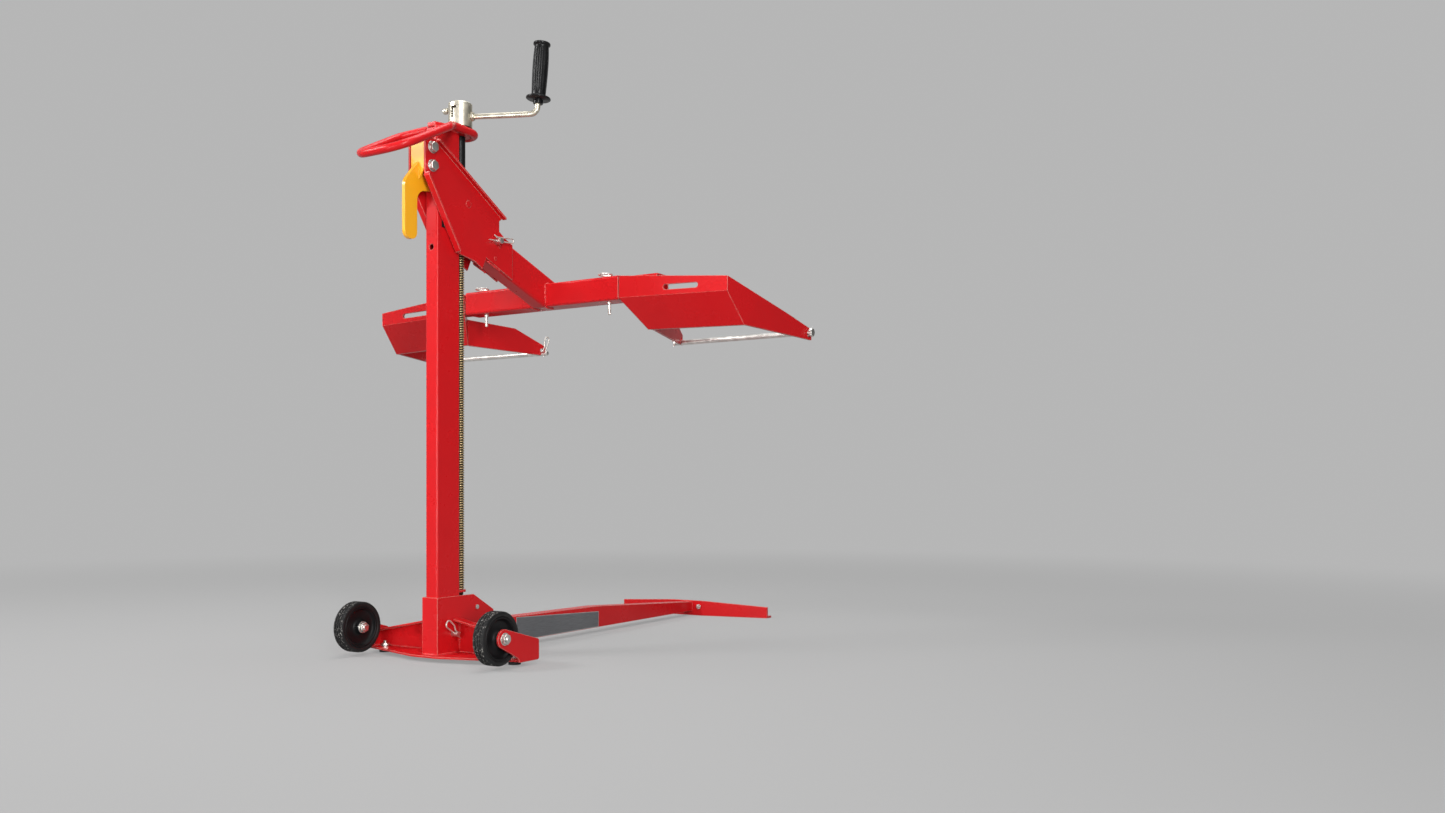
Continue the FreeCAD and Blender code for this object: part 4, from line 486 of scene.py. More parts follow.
def make_finishes():
    colors = bpy.context.scene.lift_finish
    polished = {"grain": 300.0, "edge": None, "depth": 0.000004}
    return {
        # Each powder coat gets a painted highlight along its edges; the welds get the strongest.
        "red": powder_coat("red_powder_coat", colors.red[:], colors.gloss),
        "weld": powder_coat(
            "painted_weld", colors.red[:], roughness=0.2, edge=0.0003, edge_highlight=0.9,
            specular=0.45,
        ),
        "yellow": powder_coat(
            "yellow_powder_coat", colors.yellow[:], roughness=0.34, edge=0.001, edge_highlight=0.25,
            specular=0.35, coat=0.6,
        ),
        "zinc": zinc_plate("zinc_plate", colors.zinc[:]),
        "crank_zinc": zinc_plate(
            "crank_zinc", colors.crank_zinc[:], roughness=0.3, edge=0.0008
        ),
        "screw": threaded_steel("screw_steel", colors.screw[:]),
        "black_steel": moulded("black_oxide", colors.black[:], roughness=0.38, grain=700.0),
        "bronze": zinc_plate("nut_bronze", colors.bronze[:], roughness=0.36),
        "plastic": moulded("black_plastic", colors.black[:]),
        "grip": moulded("grip_plastic", colors.black[:], roughness=0.3, **polished),
        "hub": moulded("hub_plastic", colors.black[:], roughness=0.42, **polished),
        "wire": zinc_wire("zinc_wire", colors.wire[:]),
        "tyre": tyre_rubber("tyre_rubber", colors.tyre[:]),
        "foot": rubber("foot_rubber", colors.tyre[:]),
        "plate": label_plate("label_plate", colors.plate[:]),
        "border": label_plate("label_border", colors.border[:]),
    }


# Which finish a solid gets, and the slot of the record that each finish matches
FINISH_OF_SLOT = {
    "red_paint": "red",
    "zinc_steel": "zinc",
    "screw_steel": "screw",
    "black_steel": "black_steel",
    "nut_bronze": "bronze",
    "yellow_paint": "yellow",
    "black_plastic": "plastic",
    "tyre_rubber": "tyre",
    "foot_rubber": "foot",
}
SLOT_OF_FINISH = {finish: slot for slot, finish in FINISH_OF_SLOT.items()}
SLOT_OF_FINISH |= {
    "crank_zinc": "zinc_steel", "wire": "zinc_steel", "plate": "zinc_steel",
    "border": "zinc_steel", "hub": "black_plastic", "grip": "black_plastic",
    "weld": "red_paint",
}
CRANK_NODES = ("crank_head", "crank_arm", "crank_knob")
# Thread pitches of the bolts and of the axles
FINE_PITCH = 0.00125
COARSE_PITCH = 0.00175
CLIPS = ("base_clip", "arm_clip", "rod_clip_left", "rod_clip_right")
RINGS = ("lock_ring_left", "lock_ring_right")
# Radius of each bent bar, the number of flat sides that its solid has, and its finish
HANDLE_BAR = (0.0078, 12, "red")
CRANK_BAR = (0.0058, 12, "crank_zinc")
CLIP_WIRE = (0.0015, 6, "wire")
RING_WIRE = (0.0018, 6, "wire")
ROUND_BARS = {"handle_loop": HANDLE_BAR, "crank_arm": CRANK_BAR}
ROUND_BARS |= dict.fromkeys(CLIPS, CLIP_WIRE) | dict.fromkeys(RINGS, RING_WIRE)
materials = {}


def node_middle(name):
    low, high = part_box(name)
    return (Vector(low) + Vector(high)) / 2


def node_size(name):
    low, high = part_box(name)
    return Vector(high) - Vector(low)


def body_of(node):
    return NODES[node]["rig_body"]


def spans(node):
    """How far from the middle plane a node of one side begins and ends."""
    low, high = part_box(node)
    return sorted((abs(low[0]), abs(high[0])))


def outward(side):
    return X_AXIS if side == "right" else -X_AXIS


def grip_joint():
    return next(joint for joint in frame["joints"] if joint["name"] == "grip_spin")


def screw_line():
    """The middle and the outer radius of the lift screw."""
    return node_middle("lift_screw"), node_size("lift_screw").x / 2


def finish_piece(name, mesh, finish, body, angle=35.0, nodes=()):
    """Makes a piece from a built mesh, gives it its finish and lets it ride on a body."""
    bmesh.ops.remove_doubles(mesh, verts=mesh.verts, dist=1e-6)
    bmesh.ops.recalc_face_normals(mesh, faces=mesh.faces)
    data = bpy.data.meshes.new(name)
    mesh.to_mesh(data)
    mesh.free()
    data.shade_smooth()
    data.set_sharp_from_angle(angle=math.radians(angle))
    piece = bpy.data.objects.new(name, data)
    bpy.context.scene.collection.objects.link(piece)
    data.materials.append(materials[finish])
    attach(piece, body)
    if nodes:
        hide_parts(*nodes)


def add_rings(mesh, rings, ends=True):
    """Joins rings of points, each with the same count, into a skin, with or without ends."""
    made = [[mesh.verts.new(point) for point in ring] for ring in rings]
    for lower, upper in zip(made, made[1:]):
        count = len(lower)
        for i in range(count):
            j = (i + 1) % count
            mesh.faces.new((lower[i], lower[j], upper[j], upper[i]))
    if ends:
        mesh.faces.new(list(reversed(made[0])))
        mesh.faces.new(made[-1])


def turning(mesh, outline, place, segments=48, reach=None, ends=True):
    """A turned form: pairs of radius and height, put in place by a matrix."""
    rings = []
    for radius, height in outline:
        ring = []
        for i in range(segments):
            angle = 2 * math.pi * i / segments
            wide = radius if reach is None else reach(radius, height, angle)
            point = Vector((wide * math.cos(angle), wide * math.sin(angle), height))
            ring.append(place @ point)
        rings.append(ring)
    add_rings(mesh, rings, ends)


def add_shaft(mesh, place, radius, start, stop, segments=32):
    """A plain round shaft between two heights."""
    core = radius * 0.5
    outline = [(core, start), (radius, start), (radius, stop), (core, stop)]
    turning(mesh, outline, place, segments)


def standing_along(axis, origin, turn=0.0):
    """A matrix that stands a turned form along an axis from an origin."""
    spin = Matrix.Rotation(turn, 4, "Z")
    return Matrix.Translation(origin) @ axis.to_track_quat("Z", "Y").to_matrix().to_4x4() @ spin


def hexagon_reach(across):
    """Distance from the middle of a hexagon to its edge, for a turned form."""

    def reach(radius, height, angle):
        edge = across / 2 / math.cos((angle + math.pi / 6) % (math.pi / 3) - math.pi / 6)
        return min(radius, edge)

    return reach


def add_hexagon(mesh, place, across, height, rise=0.0):
    """A hexagonal head or nut with chamfered corners, between two heights."""
    corner = across / 2 / math.cos(math.pi / 6)
    flat = across / 2 * 0.96
    slope = (corner - flat) * 0.5
    outline = [
        (flat * 0.2, rise), (flat, rise), (corner, rise + slope), (corner, rise + height - slope),
        (flat, rise + height), (flat * 0.2, rise + height),
    ]
    turning(mesh, outline, place, 48, hexagon_reach(across))


def add_washer(mesh, place, inner, outer, rise, height):
    edge = height * 0.18
    outline = [
        (inner, rise), (outer - edge, rise), (outer, rise + edge), (outer, rise + height - edge),
        (outer - edge, rise + height), (inner, rise + height),
    ]
    turning(mesh, outline, place, 40)


def add_thread(mesh, place, radius, start, stop, pitch):
    """The short visible end of a bolt, with rings for its thread."""
    turns = max(2, round((stop - start) / pitch))
    outline = [(radius * 0.3, start)]
    for i in range(turns):
        low = start + (stop - start) * i / turns
        outline.append((radius * 0.86, low))
        outline.append((radius, low + (stop - start) * 0.5 / turns))
    outline += [(radius * 0.8, stop), (radius * 0.3, stop)]
    turning(mesh, outline, place, 28)


def add_bar(mesh, points, width, segments=12):
    """A round bar through points, turned as little as possible along its way."""
    rings = []
    side = None
    for i, point in enumerate(points):
        before = points[max(i - 1, 0)]
        after = points[min(i + 1, len(points) - 1)]
        heading = (after - before).normalized()
        if side is None:
            side = heading.orthogonal()
        side = (side - heading * side.dot(heading)).normalized()
        other = heading.cross(side)
        wide = width(i)
        rings.append([
            point + side * (wide * math.cos(a)) + other * (wide * math.sin(a))
            for a in (2 * math.pi * k / segments for k in range(segments))
        ])
    add_rings(mesh, rings)


def add_weld(mesh, corners, seed=0):
    """One bead with ripples along a line of corners, thinner at its ends."""
    settings = bpy.context.scene.lift_hardware
    radius, pitch = settings.weld_radius, settings.weld_pitch
    points = [corners[0]]
    travelled = [0.0]
    for start, stop in zip(corners, corners[1:]):
        length = (stop - start).length
        steps = max(2, round(length / (pitch / 5)))
        for i in range(1, steps + 1):
            points.append(start.lerp(stop, i / steps))
            travelled.append(travelled[-1] + length / steps)
    total = travelled[-1]

    def width(i):
        along = travelled[i]
        ripple = abs(math.sin(math.pi * along / pitch)) ** 0.6
        wander = noise.noise(points[i] * 160 + Vector((seed, 0, 0)))
        end = min(1.0, 0.3 + min(along, total - along) / radius * 0.5)
        return radius * end * (0.62 + 0.4 * ripple + 0.25 * wander)

    add_bar(mesh, points, width, 8)


def mm(*values):
    """A place in the shared frame, from millimetres."""
    return Vector(value / 1000 for value in values)


class LiftOperator:
    """What each step of the dressing shares."""

    bl_options = {"REGISTER", "UNDO"}


class LIFT_OT_finishes(LiftOperator, bpy.types.Operator):
    """Makes the finishes and gives them to the solids of the lift"""

    bl_idname = "lift.finishes"
    bl_label = "Finishes"

    def execute(self, context):
        materials.update(make_finishes())
        for entry in frame["record"]["subparts"]:
            node = entry["node"]
            finish = FINISH_OF_SLOT[entry["material_slot"]]
            if node in CRANK_NODES:
                finish = "crank_zinc"
            data = NODES[node].data
            data.materials.clear()
            data.materials.append(materials[finish])
        return {"FINISHED"}


class LIFT_OT_screw(LiftOperator, bpy.types.Operator):
    """Cuts the real thread of the lift screw, with its plain lower journal"""

    bl_idname = "lift.screw"
    bl_label = "Lift screw"

    def execute(self, context):
        settings = context.scene.lift_hardware
        middle, radius = screw_line()
        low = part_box("lift_screw")[0][2]
        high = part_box("lift_screw")[1][2]
        thread_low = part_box("lower_bearing")[1][2] + 0.0003
        mesh = bmesh.new()
        base = Matrix.Translation((middle.x, middle.y, 0))
        journal = radius * 0.74
        turning(mesh, [
            (journal * 0.2, low), (journal * 0.85, low), (journal, low + 0.001),
            (journal, thread_low), (journal * 0.2, thread_low),
        ], base, 32)
        pitch, depth = settings.thread_pitch, settings.thread_depth
        # Half a crest and a whole flank, as shares of the pitch
        crest_half, flank_share = 0.17, 0.16
        segments, rings_per_turn = 24, 8
        steps = int((high - thread_low) / pitch * rings_per_turn)
        rings = []
        for i in range(steps + 1):
            z = thread_low + (high - thread_low) * i / steps
            ring = []
            for k in range(segments):
                angle = 2 * math.pi * k / segments
                phase = ((z - thread_low) / pitch - k / segments) % 1.0
                flank = (abs(phase - 0.5) - crest_half) / flank_share
                wide = radius - depth * min(max(flank, 0.0), 1.0)
                ring.append(base @ Vector((wide * math.cos(angle), wide * math.sin(angle), z)))
            rings.append(ring)
        add_rings(mesh, rings)
        finish_piece("lift_screw_thread", mesh, "screw", "crank", 50, ["lift_screw"])
        return {"FINISHED"}


class LIFT_OT_bars(LiftOperator, bpy.types.Operator):
    """Rounds the bent bars and wires, whose solids have flat sides"""

    bl_idname = "lift.bars"
    bl_label = "Round bars"

    def rounded(self, node, radius, sides):
        """The solid's flat-sided bar, subdivided and pushed out to its real radius."""
        source = NODES[node]
        mesh = bmesh.new()
        mesh.from_mesh(source.data)
        mesh.transform(source.matrix_world)
        bmesh.ops.remove_doubles(mesh, verts=mesh.verts, dist=1e-5)
        bmesh.ops.join_triangles(
            mesh, faces=mesh.faces, angle_face_threshold=math.radians(3),
            angle_shape_threshold=math.radians(179),
        )
        data = bpy.data.meshes.new(f"{node}_cage")
        mesh.to_mesh(data)
        mesh.free()
        cage = bpy.data.objects.new(f"{node}_cage", data)
        bpy.context.scene.collection.objects.link(cage)
        cage.modifiers.new("round", "SUBSURF").levels = 2
        smooth = cage.evaluated_get(bpy.context.evaluated_depsgraph_get())
        mesh = bmesh.new()
        mesh.from_mesh(smooth.to_mesh())
        bpy.data.objects.remove(cage)
        # The subdivision draws a flat-sided bar's corners in by this share of its radius
        drawn_in = 1 - (2 + math.cos(2 * math.pi / sides)) / 3
        mesh.normal_update()
        shifts = [vertex.normal * (radius * drawn_in) for vertex in mesh.verts]
        for vertex, shift in zip(mesh.verts, shifts):
            vertex.co += shift
        return mesh

    def execute(self, context):
        for node, (radius, sides, finish) in ROUND_BARS.items():
            mesh = self.rounded(node, radius, sides)
            finish_piece(f"{node}_round", mesh, finish, body_of(node), 50, [node])
        return {"FINISHED"}


class LIFT_OT_wheels(LiftOperator, bpy.types.Operator):
    """Shapes the two tyres and their dished hubs"""

    bl_idname = "lift.wheels"
    bl_label = "Wheels"

    def tyre(self, side, place, rim, radius, half):
        wall = radius - rim
        groove_half, flank = half * 0.05, half * 0.03
        floor = radius - 0.0015
        mesh = bmesh.new()
        outer = [
            (rim, half * 0.88), (rim + wall * 0.12, half * 0.97), (rim + wall * 0.35, half),
            (rim + wall * 0.62, half * 0.985), (rim + wall * 0.82, half * 0.93),
            (rim + wall * 0.94, half * 0.86), (radius, half * 0.76),
        ]
        tread = []
        for share in (-0.42, 0.0, 0.42):
            middle = half * share
            tread += [
                (radius, middle - groove_half - flank), (floor, middle - groove_half),
                (floor, middle + groove_half), (radius, middle + groove_half + flank),
            ]
        outline = [(wide, -height) for wide, height in outer] + tread + outer[::-1]
        outline += [(rim * 0.97, half * 0.6), (rim * 0.97, -half * 0.6), outline[0]]
        turning(mesh, outline, place, 144, ends=False)
        finish_piece(f"tyre_{side}_tread", mesh, "tyre", f"wheel_{side}", 40, [f"tyre_{side}"])

    def hub(self, side, place, rim, half):
        mesh = bmesh.new()
        boss = node_size(f"hub_{side}").x / 2
        bore, web, lip = 0.0061, 0.0046, half * 0.94
        face = [
            (bore, boss), (0.0112, boss), (0.0122, boss - 0.0006), (0.0126, boss - 0.0016),
            (0.0132, web + 0.0052), (0.0146, web + 0.0022), (0.0172, web + 0.0006),
            (0.021, web), (rim - 0.0125, web), (rim - 0.0088, web + 0.0008),
            (rim - 0.0066, web + 0.0024), (rim - 0.0054, web + 0.0052),
            (rim - 0.0048, lip - 0.0018), (rim - 0.0042, lip - 0.0006),
            (rim - 0.0032, lip), (rim - 0.0014, lip),
            (rim - 0.0005, lip - 0.0006), (rim, lip - 0.0018),
        ]
        outline = face + [(wide, -height) for wide, height in reversed(face)]
        outline.append(outline[0])
        turning(mesh, outline, place, 96, ends=False)
        finish_piece(f"hub_{side}_dish", mesh, "hub", f"wheel_{side}", 50, [f"hub_{side}"])

    def execute(self, context):
        for side in SIDES:
            middle = node_middle(f"tyre_{side}")
            size = node_size(f"tyre_{side}")
            place = standing_along(X_AXIS, middle)
            rim = node_size(f"hub_{side}").y / 2
            self.tyre(side, place, rim, size.y / 2, size.x / 2)
            self.hub(side, place, rim, size.x / 2)
        return {"FINISHED"}


class LIFT_OT_fasteners(LiftOperator, bpy.types.Operator):
    """Puts hexagonal bolts, nuts and washers in place of the plain ones"""

    bl_idname = "lift.fasteners"
    bl_label = "Fasteners"

    def finish_bolt(self, node, mesh):
        finish_piece(f"{node}_hex", mesh, "zinc", body_of(node), 18, [node])

    def through_bolt(self, node, axis, across, head, thread, washer=0.0, spare=0.004):
        """A bolt along an axis with a head and washer at each end of its node's box."""
        length = abs(axis.dot(node_size(node)))
        start = node_middle(node) - axis * (length / 2)
        place = standing_along(axis, start, math.radians(12))
        thin = 0.0016 if washer else 0.0
        mesh = bmesh.new()
        add_hexagon(mesh, place, across, head - thin)
        add_shaft(mesh, place, thread, head * 0.5, length - head * 0.5)
        add_hexagon(mesh, place, across, head - thin, length - head + thin)
        add_thread(mesh, place, thread * 0.96, -spare, 0.0, FINE_PITCH)
        if washer:
            add_washer(mesh, place, thread, washer, head - thin, thin)
            add_washer(mesh, place, thread, washer, length - head, thin)
        self.finish_bolt(node, mesh)

    def axle(self, side):
        """The wheel's axle, from its inner nut to the nut outside the axle plate."""
        node = f"axle_{side}"
        inner, outer = spans(node)
        plate_in, plate_out = spans(f"axle_plate_{side}")
        hub_in, hub_out = spans(f"hub_{side}")
        middle = node_middle(node)
        place = standing_along(
            outward(side), Vector((0, middle.y, middle.z)), math.radians(8)
        )
        shaft, across, play, thin = 0.006, 0.0185, 0.0003, 0.0018
        nut = hub_in - play
        spacer = hub_out + play
        mesh = bmesh.new()
        add_thread(mesh, place, shaft * 0.96, inner, nut - 0.007, COARSE_PITCH)
        add_hexagon(mesh, place, across, 0.0063, nut - 0.008)
        add_washer(mesh, place, shaft, 0.0118, nut - 0.0017, 0.0017)
        add_shaft(mesh, place, shaft, inner + 0.001, plate_out, 36)
        add_washer(mesh, place, shaft, 0.0105, spacer, plate_in - spacer)
        add_washer(mesh, place, shaft, 0.012, plate_out, thin)
        add_hexagon(mesh, place, across, outer - plate_out - thin, plate_out + thin)
        add_thread(mesh, place, shaft * 0.96, outer, outer + 0.0035, COARSE_PITCH)
        self.finish_bolt(node, mesh)

    def foot_stud(self, side):
        node = f"foot_stud_{side}"
        middle, low, high = node_middle(node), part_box(node)[0][2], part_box(node)[1][2]
        plate_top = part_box("post")[0][2]
        stud, thin = 0.004, 0.0014
        place = standing_along(Z_AXIS, Vector((middle.x, middle.y, 0)), math.radians(20))
        mesh = bmesh.new()
        add_washer(mesh, place, stud, 0.0085, plate_top, thin)
        add_hexagon(mesh, place, 0.013, 0.0048, plate_top + thin)
        add_thread(mesh, place, stud, plate_top + 0.006, high, FINE_PITCH)
        add_shaft(mesh, place, stud, low, plate_top + 0.0062, 24)
        self.finish_bolt(node, mesh)

    def cradle_rod(self, side):
        node = f"cradle_rod_{side}"
        inner, outer = spans(node)
        middle = node_middle(node)
        place = standing_along(
            outward(side), Vector((0, middle.y, middle.z)), math.radians(15)
        )
        rod, head = 0.006, outer - 0.008
        mesh = bmesh.new()
        turning(mesh, [
            (rod * 0.3, inner), (rod * 0.75, inner), (rod, inner + 0.0015), (rod, head),
            (rod * 0.3, head),
        ], place, 36)
        add_hexagon(mesh, place, 0.0172, 0.0078, head)
        self.finish_bolt(node, mesh)

    def lock_pin(self, side):
        """A pull pin with a waist for its ring, a flange and a slim, grooved tip."""
        node = f"lock_pin_{side}"
        middle, low, high = node_middle(node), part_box(node)[0][2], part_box(node)[1][2]
        tube_low, tube_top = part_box("cross_tube")[0][2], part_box("cross_tube")[1][2]
        wide, slim, flange = 0.0054, 0.0034, node_size(node).x / 2
        outline = [
            (0.001, low), (slim * 0.7, low), (slim, low + 0.0012), (slim, low + 0.005),
            (slim * 0.8, low + 0.0056), (slim * 0.8, low + 0.007), (slim, low + 0.0076),
            (slim, tube_low - 0.004), (wide, tube_low + 0.001), (wide, tube_top),
            (flange, tube_top + 0.0002), (flange, tube_top + 0.0014),
            (flange * 0.94, tube_top + 0.0019), (slim * 1.3, tube_top + 0.002),
            (slim * 1.2, high - 0.002), (slim, high - 0.0006), (0.001, high),
        ]
        mesh = bmesh.new()
        turning(mesh, outline, Matrix.Translation((middle.x, middle.y, 0)), 32)
        finish_piece(f"{node}_turned", mesh, "wire", body_of(node), 30, [node])

    def execute(self, context):
        for node in ("guide_bolt_lower", "guide_bolt_upper"):
            self.through_bolt(
                node, X_AXIS, across=0.0178, head=0.009, thread=0.006, washer=0.0118
            )
        self.through_bolt(
            "gusset_bolt", X_AXIS, across=0.0088, head=0.003, thread=0.0025, spare=0.0016
        )
        self.through_bolt(
            "t_bar_bolt", Y_AXIS, across=0.0125, head=0.004, thread=0.004, spare=0.003
        )
        for side in SIDES:
            self.axle(side)
            self.foot_stud(side)
            self.cradle_rod(side)
            self.lock_pin(side)
        return {"FINISHED"}


class LIFT_OT_grip(LiftOperator, bpy.types.Operator):
    """Moulds the crank's grip with its guard, flutes and end lip"""

    bl_idname = "lift.grip"
    bl_label = "Grip"

    def execute(self, context):
        settings = context.scene.lift_hardware
        joint = grip_joint()
        place = standing_along(Vector(joint["axis"]).normalized(), Vector(joint["pos_m"]))
        guard = [
            (0.006, 0.0), (0.0094, 0.0), (0.01, 0.0006), (0.01, 0.0078), (0.0112, 0.0088),
            (0.0235, 0.0092), (0.0249, 0.0102), (0.025, 0.0118), (0.0243, 0.0131),
            (0.0175, 0.0138), (0.0152, 0.0148), (0.0144, 0.0168),
        ]
        lip = [
            (0.0148, 0.1176), (0.0165, 0.1184), (0.0172, 0.1194), (0.0172, 0.1222),
            (0.0165, 0.1234), (0.0152, 0.124), (0.008, 0.1238), (0.0078, 0.1232),
            (0.001, 0.1232),
        ]
        low, high, steps = 0.0168, 0.1165, 44
        slim, bulge, widest = 0.0142, 0.0017, 0.62
        plain, run_out = 0.004, 0.006

        def swell(share):
            if share < widest:
                return math.sin(math.pi * share / widest / 2)
            return math.cos(math.pi * (share - widest) / (1 - widest) / 2) ** 0.8

        shares = [i / steps for i in range(1, steps + 1)]
        palm = [(slim + bulge * swell(share), low + (high - low) * share) for share in shares]
        outline = guard + palm + lip

        def reach(radius, height, angle):
            inside = min(height - low, high - height) - plain
            fade = min(max(inside / run_out, 0.0), 1.0)
            wave = 0.5 - 0.5 * math.cos(angle * settings.flutes)
            return radius - settings.flute_depth * fade * wave

        mesh = bmesh.new()
        turning(mesh, outline, place, settings.flutes * 12, reach)
        finish_piece("crank_grip_moulding", mesh, "grip", "grip", 40, ["crank_grip"])
        return {"FINISHED"}


class LIFT_OT_crank(LiftOperator, bpy.types.Operator):
    """Adds the nut that holds the crank's arm, and the clamp screw with its washer"""

    bl_idname = "lift.crank"
    bl_label = "Crank"

    def arm_nut(self):
        head = node_middle("crank_head")
        radius = node_size("crank_head").x / 2
        arm_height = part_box("crank_arm")[0][2] + CRANK_BAR[0]
        out = Vector(grip_joint()["pos_m"]) - head
        out.z = 0
        place = standing_along(out.normalized(), Vector((head.x, head.y, arm_height)))
        mesh = bmesh.new()
        add_hexagon(mesh, place, 0.0165, 0.0058, radius - 0.0006)
        finish_piece("crank_arm_nut", mesh, "crank_zinc", "crank", 30)

    def clamp_screw(self):
        low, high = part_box("crank_knob")
        start, stop = -high[0], -low[0]
        middle = node_middle("crank_knob")
        place = standing_along(-X_AXIS, Vector((0, middle.y, middle.z)), math.radians(5))
        stem, head = 0.003, 0.006
        mesh = bmesh.new()
        add_shaft(mesh, place, stem, start, stop - 0.002, 28)
        add_washer(mesh, place, stem, 0.0062, stop - 0.0122, 0.0015)
        turning(mesh, [
            (0.0035, stop - 0.0108), (0.0056, stop - 0.0108), (head, stop - 0.01),
            (head, stop - 0.001), (0.0054, stop), (0.0034, stop),
            (0.0031, stop - 0.0006), (0.0029, stop - 0.004), (0.0004, stop - 0.004),
        ], place, 36)
        finish_piece("crank_knob_screw", mesh, "crank_zinc", "crank", 30, ["crank_knob"])

    def execute(self, context):
        self.arm_nut()
        self.clamp_screw()
        return {"FINISHED"}


class LIFT_OT_welds(LiftOperator, bpy.types.Operator):
    """Lays the weld beads between the plates, tubes and bars"""

    bl_idname = "lift.welds"
    bl_label = "Welds"

    def lay(self, name, body, lines):
        mesh = bmesh.new()
        for number, corners in enumerate(lines):
            add_weld(mesh, [mm(*corner) for corner in corners], number)
        finish_piece(name, mesh, "weld", body, 60)

    def frame_lines(self):
        """Beads of the socket, the base, the top plate with its handle, and the T-bar."""
        base, post_top, plate_top = 12, 1060, 1067.4
        nose_radius = 20.6
        nose = [
            (nose_radius * math.cos(turn), 50 + nose_radius * math.sin(turn), plate_top)
            for turn in (math.pi * k / 14 for k in range(2, 13))
        ]
        lines = [
            [(-17, -36.3, base), (17, -36.3, base)],
            [(-10, -32.4, post_top), (10, -32.4, post_top)],
            nose,
            [(-8, 34, 130), (8, 34, 130)],
            [(-13, 930, 37), (13, 930, 37)],
        ]
        for side in (-1, 1):
            socket, end, beam, post = side * 20.4, side * 203, side * 16.4, side * 16.2
            lines += [
                [(socket, -34, base), (socket, 20, base)],
                [(socket, 34, base), (socket, 80, base)],
                [(end, -2, base), (end, 24, base)],
                [(end, 32, 15), (end, 32, 42)],
                [(side * 40, 27, base), (side * 84, 27, base)],
                [(side * 122, 27, base), (side * 150, 27, base)],
                [(socket, 26.5, 16), (socket, 26.5, 72)],
                [(beam, 930, 14), (beam, 930, 36)],
                [(post, -24, post_top), (post, 26, post_top)],
                [(side * 19.6, -6, 1067.6), (side * 20, 40, 1067.6)],
                [(beam, 44, 68), (beam, 80, 67.4)],
            ]
        return lines

    def carriage_lines(self):
        """Beads between the cheeks, the arm and the cross tube."""
        lines = [[(-14, 351, 799.4), (14, 351, 799.4)], [(-17, 299, 750), (17, 299, 750)]]
        for side in (-1, 1):
            cheek = side * 19.2
            lines += [
                [(cheek, 185.4, 792), (cheek, 185.4, 856)],
                [(cheek, 299, 752), (cheek, 299, 797)],
                [(cheek, 302, 799.2), (cheek, 346, 799.2)],
                [(cheek, 300, 746.8), (cheek, 330, 746.8)],
                [(cheek, 108, 815), (cheek, 150, 801)],
            ]
        return lines

    def cradle_lines(self, side):
        """Stitches between the inner tube and the tray's wall."""
        return [
            [(side * start, 304, 750.4), (side * stop, 304, 750.2)]
            for start, stop in ((226, 246), (262, 282), (294, 310))
        ]

    def plugs(self):
        """Ground-off plug welds on the carriage's cheeks."""
        out = node_size("lift_nut").x / 2
        profile = ((1, -0.0004), (1, 0.0001), (0.8, 0.0004), (0.5, 0.0003), (0.2, 0.00045))
        mesh = bmesh.new()
        for side in (-1, 1):
            for y, z, radius in ((50, 920, 0.0076), (144, 852, 0.0045), (131, 824, 0.0045)):
                place = standing_along(X_AXIS * side, mm(0, y, z) + X_AXIS * (side * out))
                outline = [(radius * share, height) for share, height in profile]
                turning(mesh, outline, place, 28)
        finish_piece("plug_welds", mesh, "red", "carriage", 60)

    def execute(self, context):
        self.lay("welds_frame", "frame", self.frame_lines())
        self.lay("welds_carriage", "carriage", self.carriage_lines())
        for side, name in ((-1, "left"), (1, "right")):
            self.lay(f"welds_cradle_{name}", f"cradle_{name}_body", self.cradle_lines(side))
        self.plugs()
        return {"FINISHED"}


class LIFT_OT_label(LiftOperator, bpy.types.Operator):
    """Sticks a bare foil plate, with no words, on the side of the long beam"""

    bl_idname = "lift.label"
    bl_label = "Bare label"

    def execute(self, context):
        beam_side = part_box("forward_beam")[1][0]
        near, far, low = 0.205, 0.503, 0.0128
        high_near, high_far = 0.064, 0.0495
        backing = 0.00002
        for finish, inset, rise in (("border", 0.0, 0.0002), ("plate", 0.0014, 0.0004)):
            corners = [
                (near + inset, low + inset), (far - inset, low + inset),
                (far - inset, high_far - inset), (near + inset, high_near - inset),
            ]
            mesh = bmesh.new()
            add_rings(mesh, [
                [Vector((beam_side + thick, y, z)) for y, z in corners]
                for thick in (backing, rise)
            ])
            finish_piece(f"label_{finish}", mesh, finish, "frame", 30)
        return {"FINISHED"}


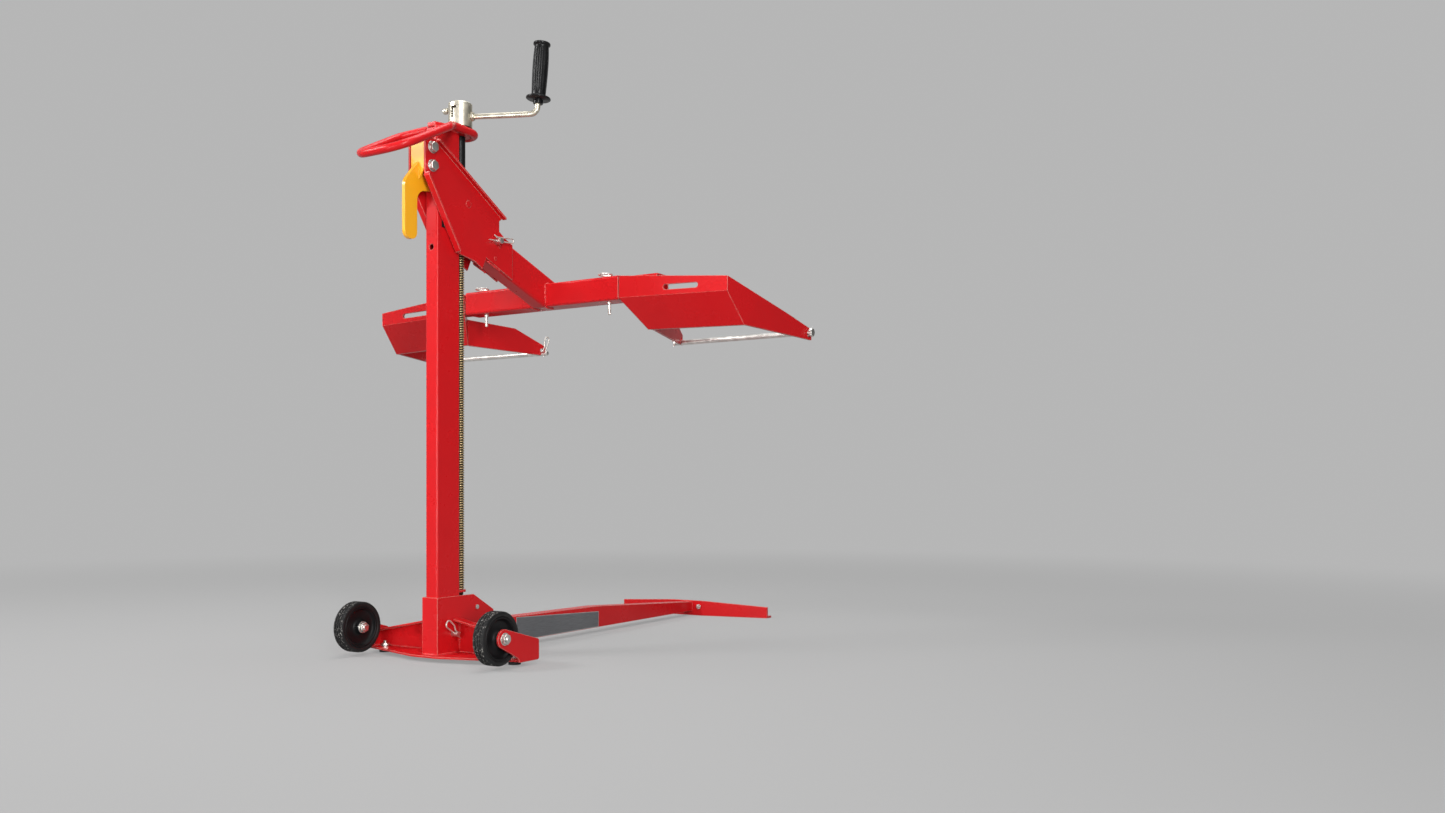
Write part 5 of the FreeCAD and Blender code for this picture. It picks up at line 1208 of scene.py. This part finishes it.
class LIFT_OT_stage(LiftOperator, bpy.types.Operator):
    """Sets the pale studio, its lamps and the photograph's viewpoint"""

    bl_idname = "lift.stage"
    bl_label = "Stage"

    def floor(self, stage):
        """A wide floor that takes the shadow near the lift and fades into the backdrop."""
        finish = Finish("stage_floor")
        under_lift = Vector((0, 0.45, 0))
        near = 1 - finish.distance(under_lift, "X", "Y").between(1.2, 4.2)
        eye, mirror, glass = finish.rays("Is Camera Ray", "Is Glossy Ray", "Is Transmission Ray")
        seen = eye.greater(mirror).greater(glass)
        tone, black = grey(stage.backdrop), grey(0)
        glow = finish.mix(near * stage.floor_share, tone, black)
        lit = finish.mix(near, black, darker(tone, stage.floor_share))
        material = finish.use(
            color=lit, roughness=0.9, specular=0.0, glow=finish.mix(seen, black, glow),
            glow_strength=1.0,
        )
        mesh = bmesh.new()
        bmesh.ops.create_circle(mesh, cap_ends=True, segments=96, radius=60.0)
        bmesh.ops.translate(mesh, verts=mesh.verts, vec=(0, 0, -0.0002))
        data = bpy.data.meshes.new("studio_floor")
        mesh.to_mesh(data)
        mesh.free()
        data.materials.append(material)
        floor = bpy.data.objects.new("studio_floor", data)
        bpy.context.scene.collection.objects.link(floor)

    def surround(self, stage):
        """A pale surround with a dark side, which the lift's wide faces mirror."""
        world = bpy.data.worlds.new("studio")
        world.use_nodes = True
        nodes = Nodes(world.node_tree)
        dark_side, dark_tone = (0.62, 0.78, 0.0), 0.06
        scattered, mirrored = nodes.rays("Is Diffuse Ray", "Is Glossy Ray")
        facing = nodes.add(
            "ShaderNodeVectorMath", {"operation": "DOT_PRODUCT"},
            {0: nodes.place("Generated"), 1: dark_side}, "Value",
        )
        dark = facing.between(0.66, 0.92) * mirrored
        tone = nodes.mix(1 - scattered, grey(stage.ambient), grey(stage.backdrop))
        tone = nodes.mix(dark, tone, grey(dark_tone))
        nodes.feed(world.node_tree.nodes["Background"].inputs["Color"], tone)
        bpy.context.scene.world = world

    def camera(self, stage):
        data = bpy.data.cameras.new("photo_camera")
        data.lens = stage.lens
        data.sensor_width = 36
        data.shift_y = stage.rise
        camera = bpy.data.objects.new("photo_camera", data)
        camera.location = stage.camera_place
        camera.rotation_euler = (math.pi / 2, 0, stage.camera_turn)
        bpy.context.scene.collection.objects.link(camera)
        bpy.context.scene.camera = camera

    def lamp(self, name, place, aim, size, power, spread=180):
        """A rectangular lamp that looks at a point, with its beam's angle in degrees."""
        data = bpy.data.lights.new(name, "AREA")
        data.shape = "RECTANGLE"
        data.size, data.size_y = size
        data.energy = power
        data.spread = math.radians(spread)
        lamp = bpy.data.objects.new(name, data)
        lamp.location = place
        lamp.rotation_euler = (Vector(aim) - Vector(place)).to_track_quat("-Z", "Y").to_euler()
        bpy.context.scene.collection.objects.link(lamp)

    def execute(self, context):
        stage = context.scene.lift_stage
        self.camera(stage)
        self.floor(stage)
        self.surround(stage)
        self.lamp(
            "key", place=(-2.1, -2.2, 2.5), aim=(0, 0, 0.6), size=(0.9, 0.7), power=71
        )
        self.lamp(
            "low", place=(0.2, -2.7, 0.32), aim=(0.1, 0.3, 0.75), size=(1.8, 0.5), power=8,
            spread=75,
        )
        self.lamp(
            "fill", place=(2.6, -2.0, 1.3), aim=(0, 0.2, 0.9), size=(0.5, 2.4), power=22,
            spread=85,
        )
        self.lamp(
            "top", place=(0.3, 0.2, 3.6), aim=(0, 0.3, 0.5), size=(2.0, 2.0), power=66
        )
        context.scene.view_settings.view_transform = "Standard"
        return {"FINISHED"}


class LIFT_PT_panel(bpy.types.Panel):
    """Lists the steps that dress the lift"""

    bl_idname = "LIFT_PT_panel"
    bl_label = "Mower lift"
    bl_space_type = "VIEW_3D"
    bl_region_type = "UI"
    bl_category = "Mower lift"

    def draw(self, context):
        for settings in (
            context.scene.lift_finish, context.scene.lift_hardware, context.scene.lift_stage
        ):
            box = self.layout.box()
            for name in settings.__annotations__:
                box.prop(settings, name)
        for step in STEPS:
            self.layout.operator(step.bl_idname)


STEPS = (
    LIFT_OT_finishes, LIFT_OT_screw, LIFT_OT_bars, LIFT_OT_wheels, LIFT_OT_fasteners, LIFT_OT_grip,
    LIFT_OT_crank, LIFT_OT_welds, LIFT_OT_label, LIFT_OT_stage,
)
SETTINGS = {
    "lift_finish": FinishSettings, "lift_hardware": HardwareSettings,
    "lift_stage": StageSettings,
}


def register():
    for group in SETTINGS.values():
        bpy.utils.register_class(group)
    for step in STEPS:
        bpy.utils.register_class(step)
    bpy.utils.register_class(LIFT_PT_panel)
    for name, group in SETTINGS.items():
        setattr(bpy.types.Scene, name, PointerProperty(type=group))


def unregister():
    for name in SETTINGS:
        delattr(bpy.types.Scene, name)
    bpy.utils.unregister_class(LIFT_PT_panel)
    for item in (*STEPS, *SETTINGS.values()):
        bpy.utils.unregister_class(item)


def main():
    register()
    for step in STEPS:
        group, name = step.bl_idname.split(".")
        getattr(getattr(bpy.ops, group), name)()


if __name__ == "__main__":
    main()
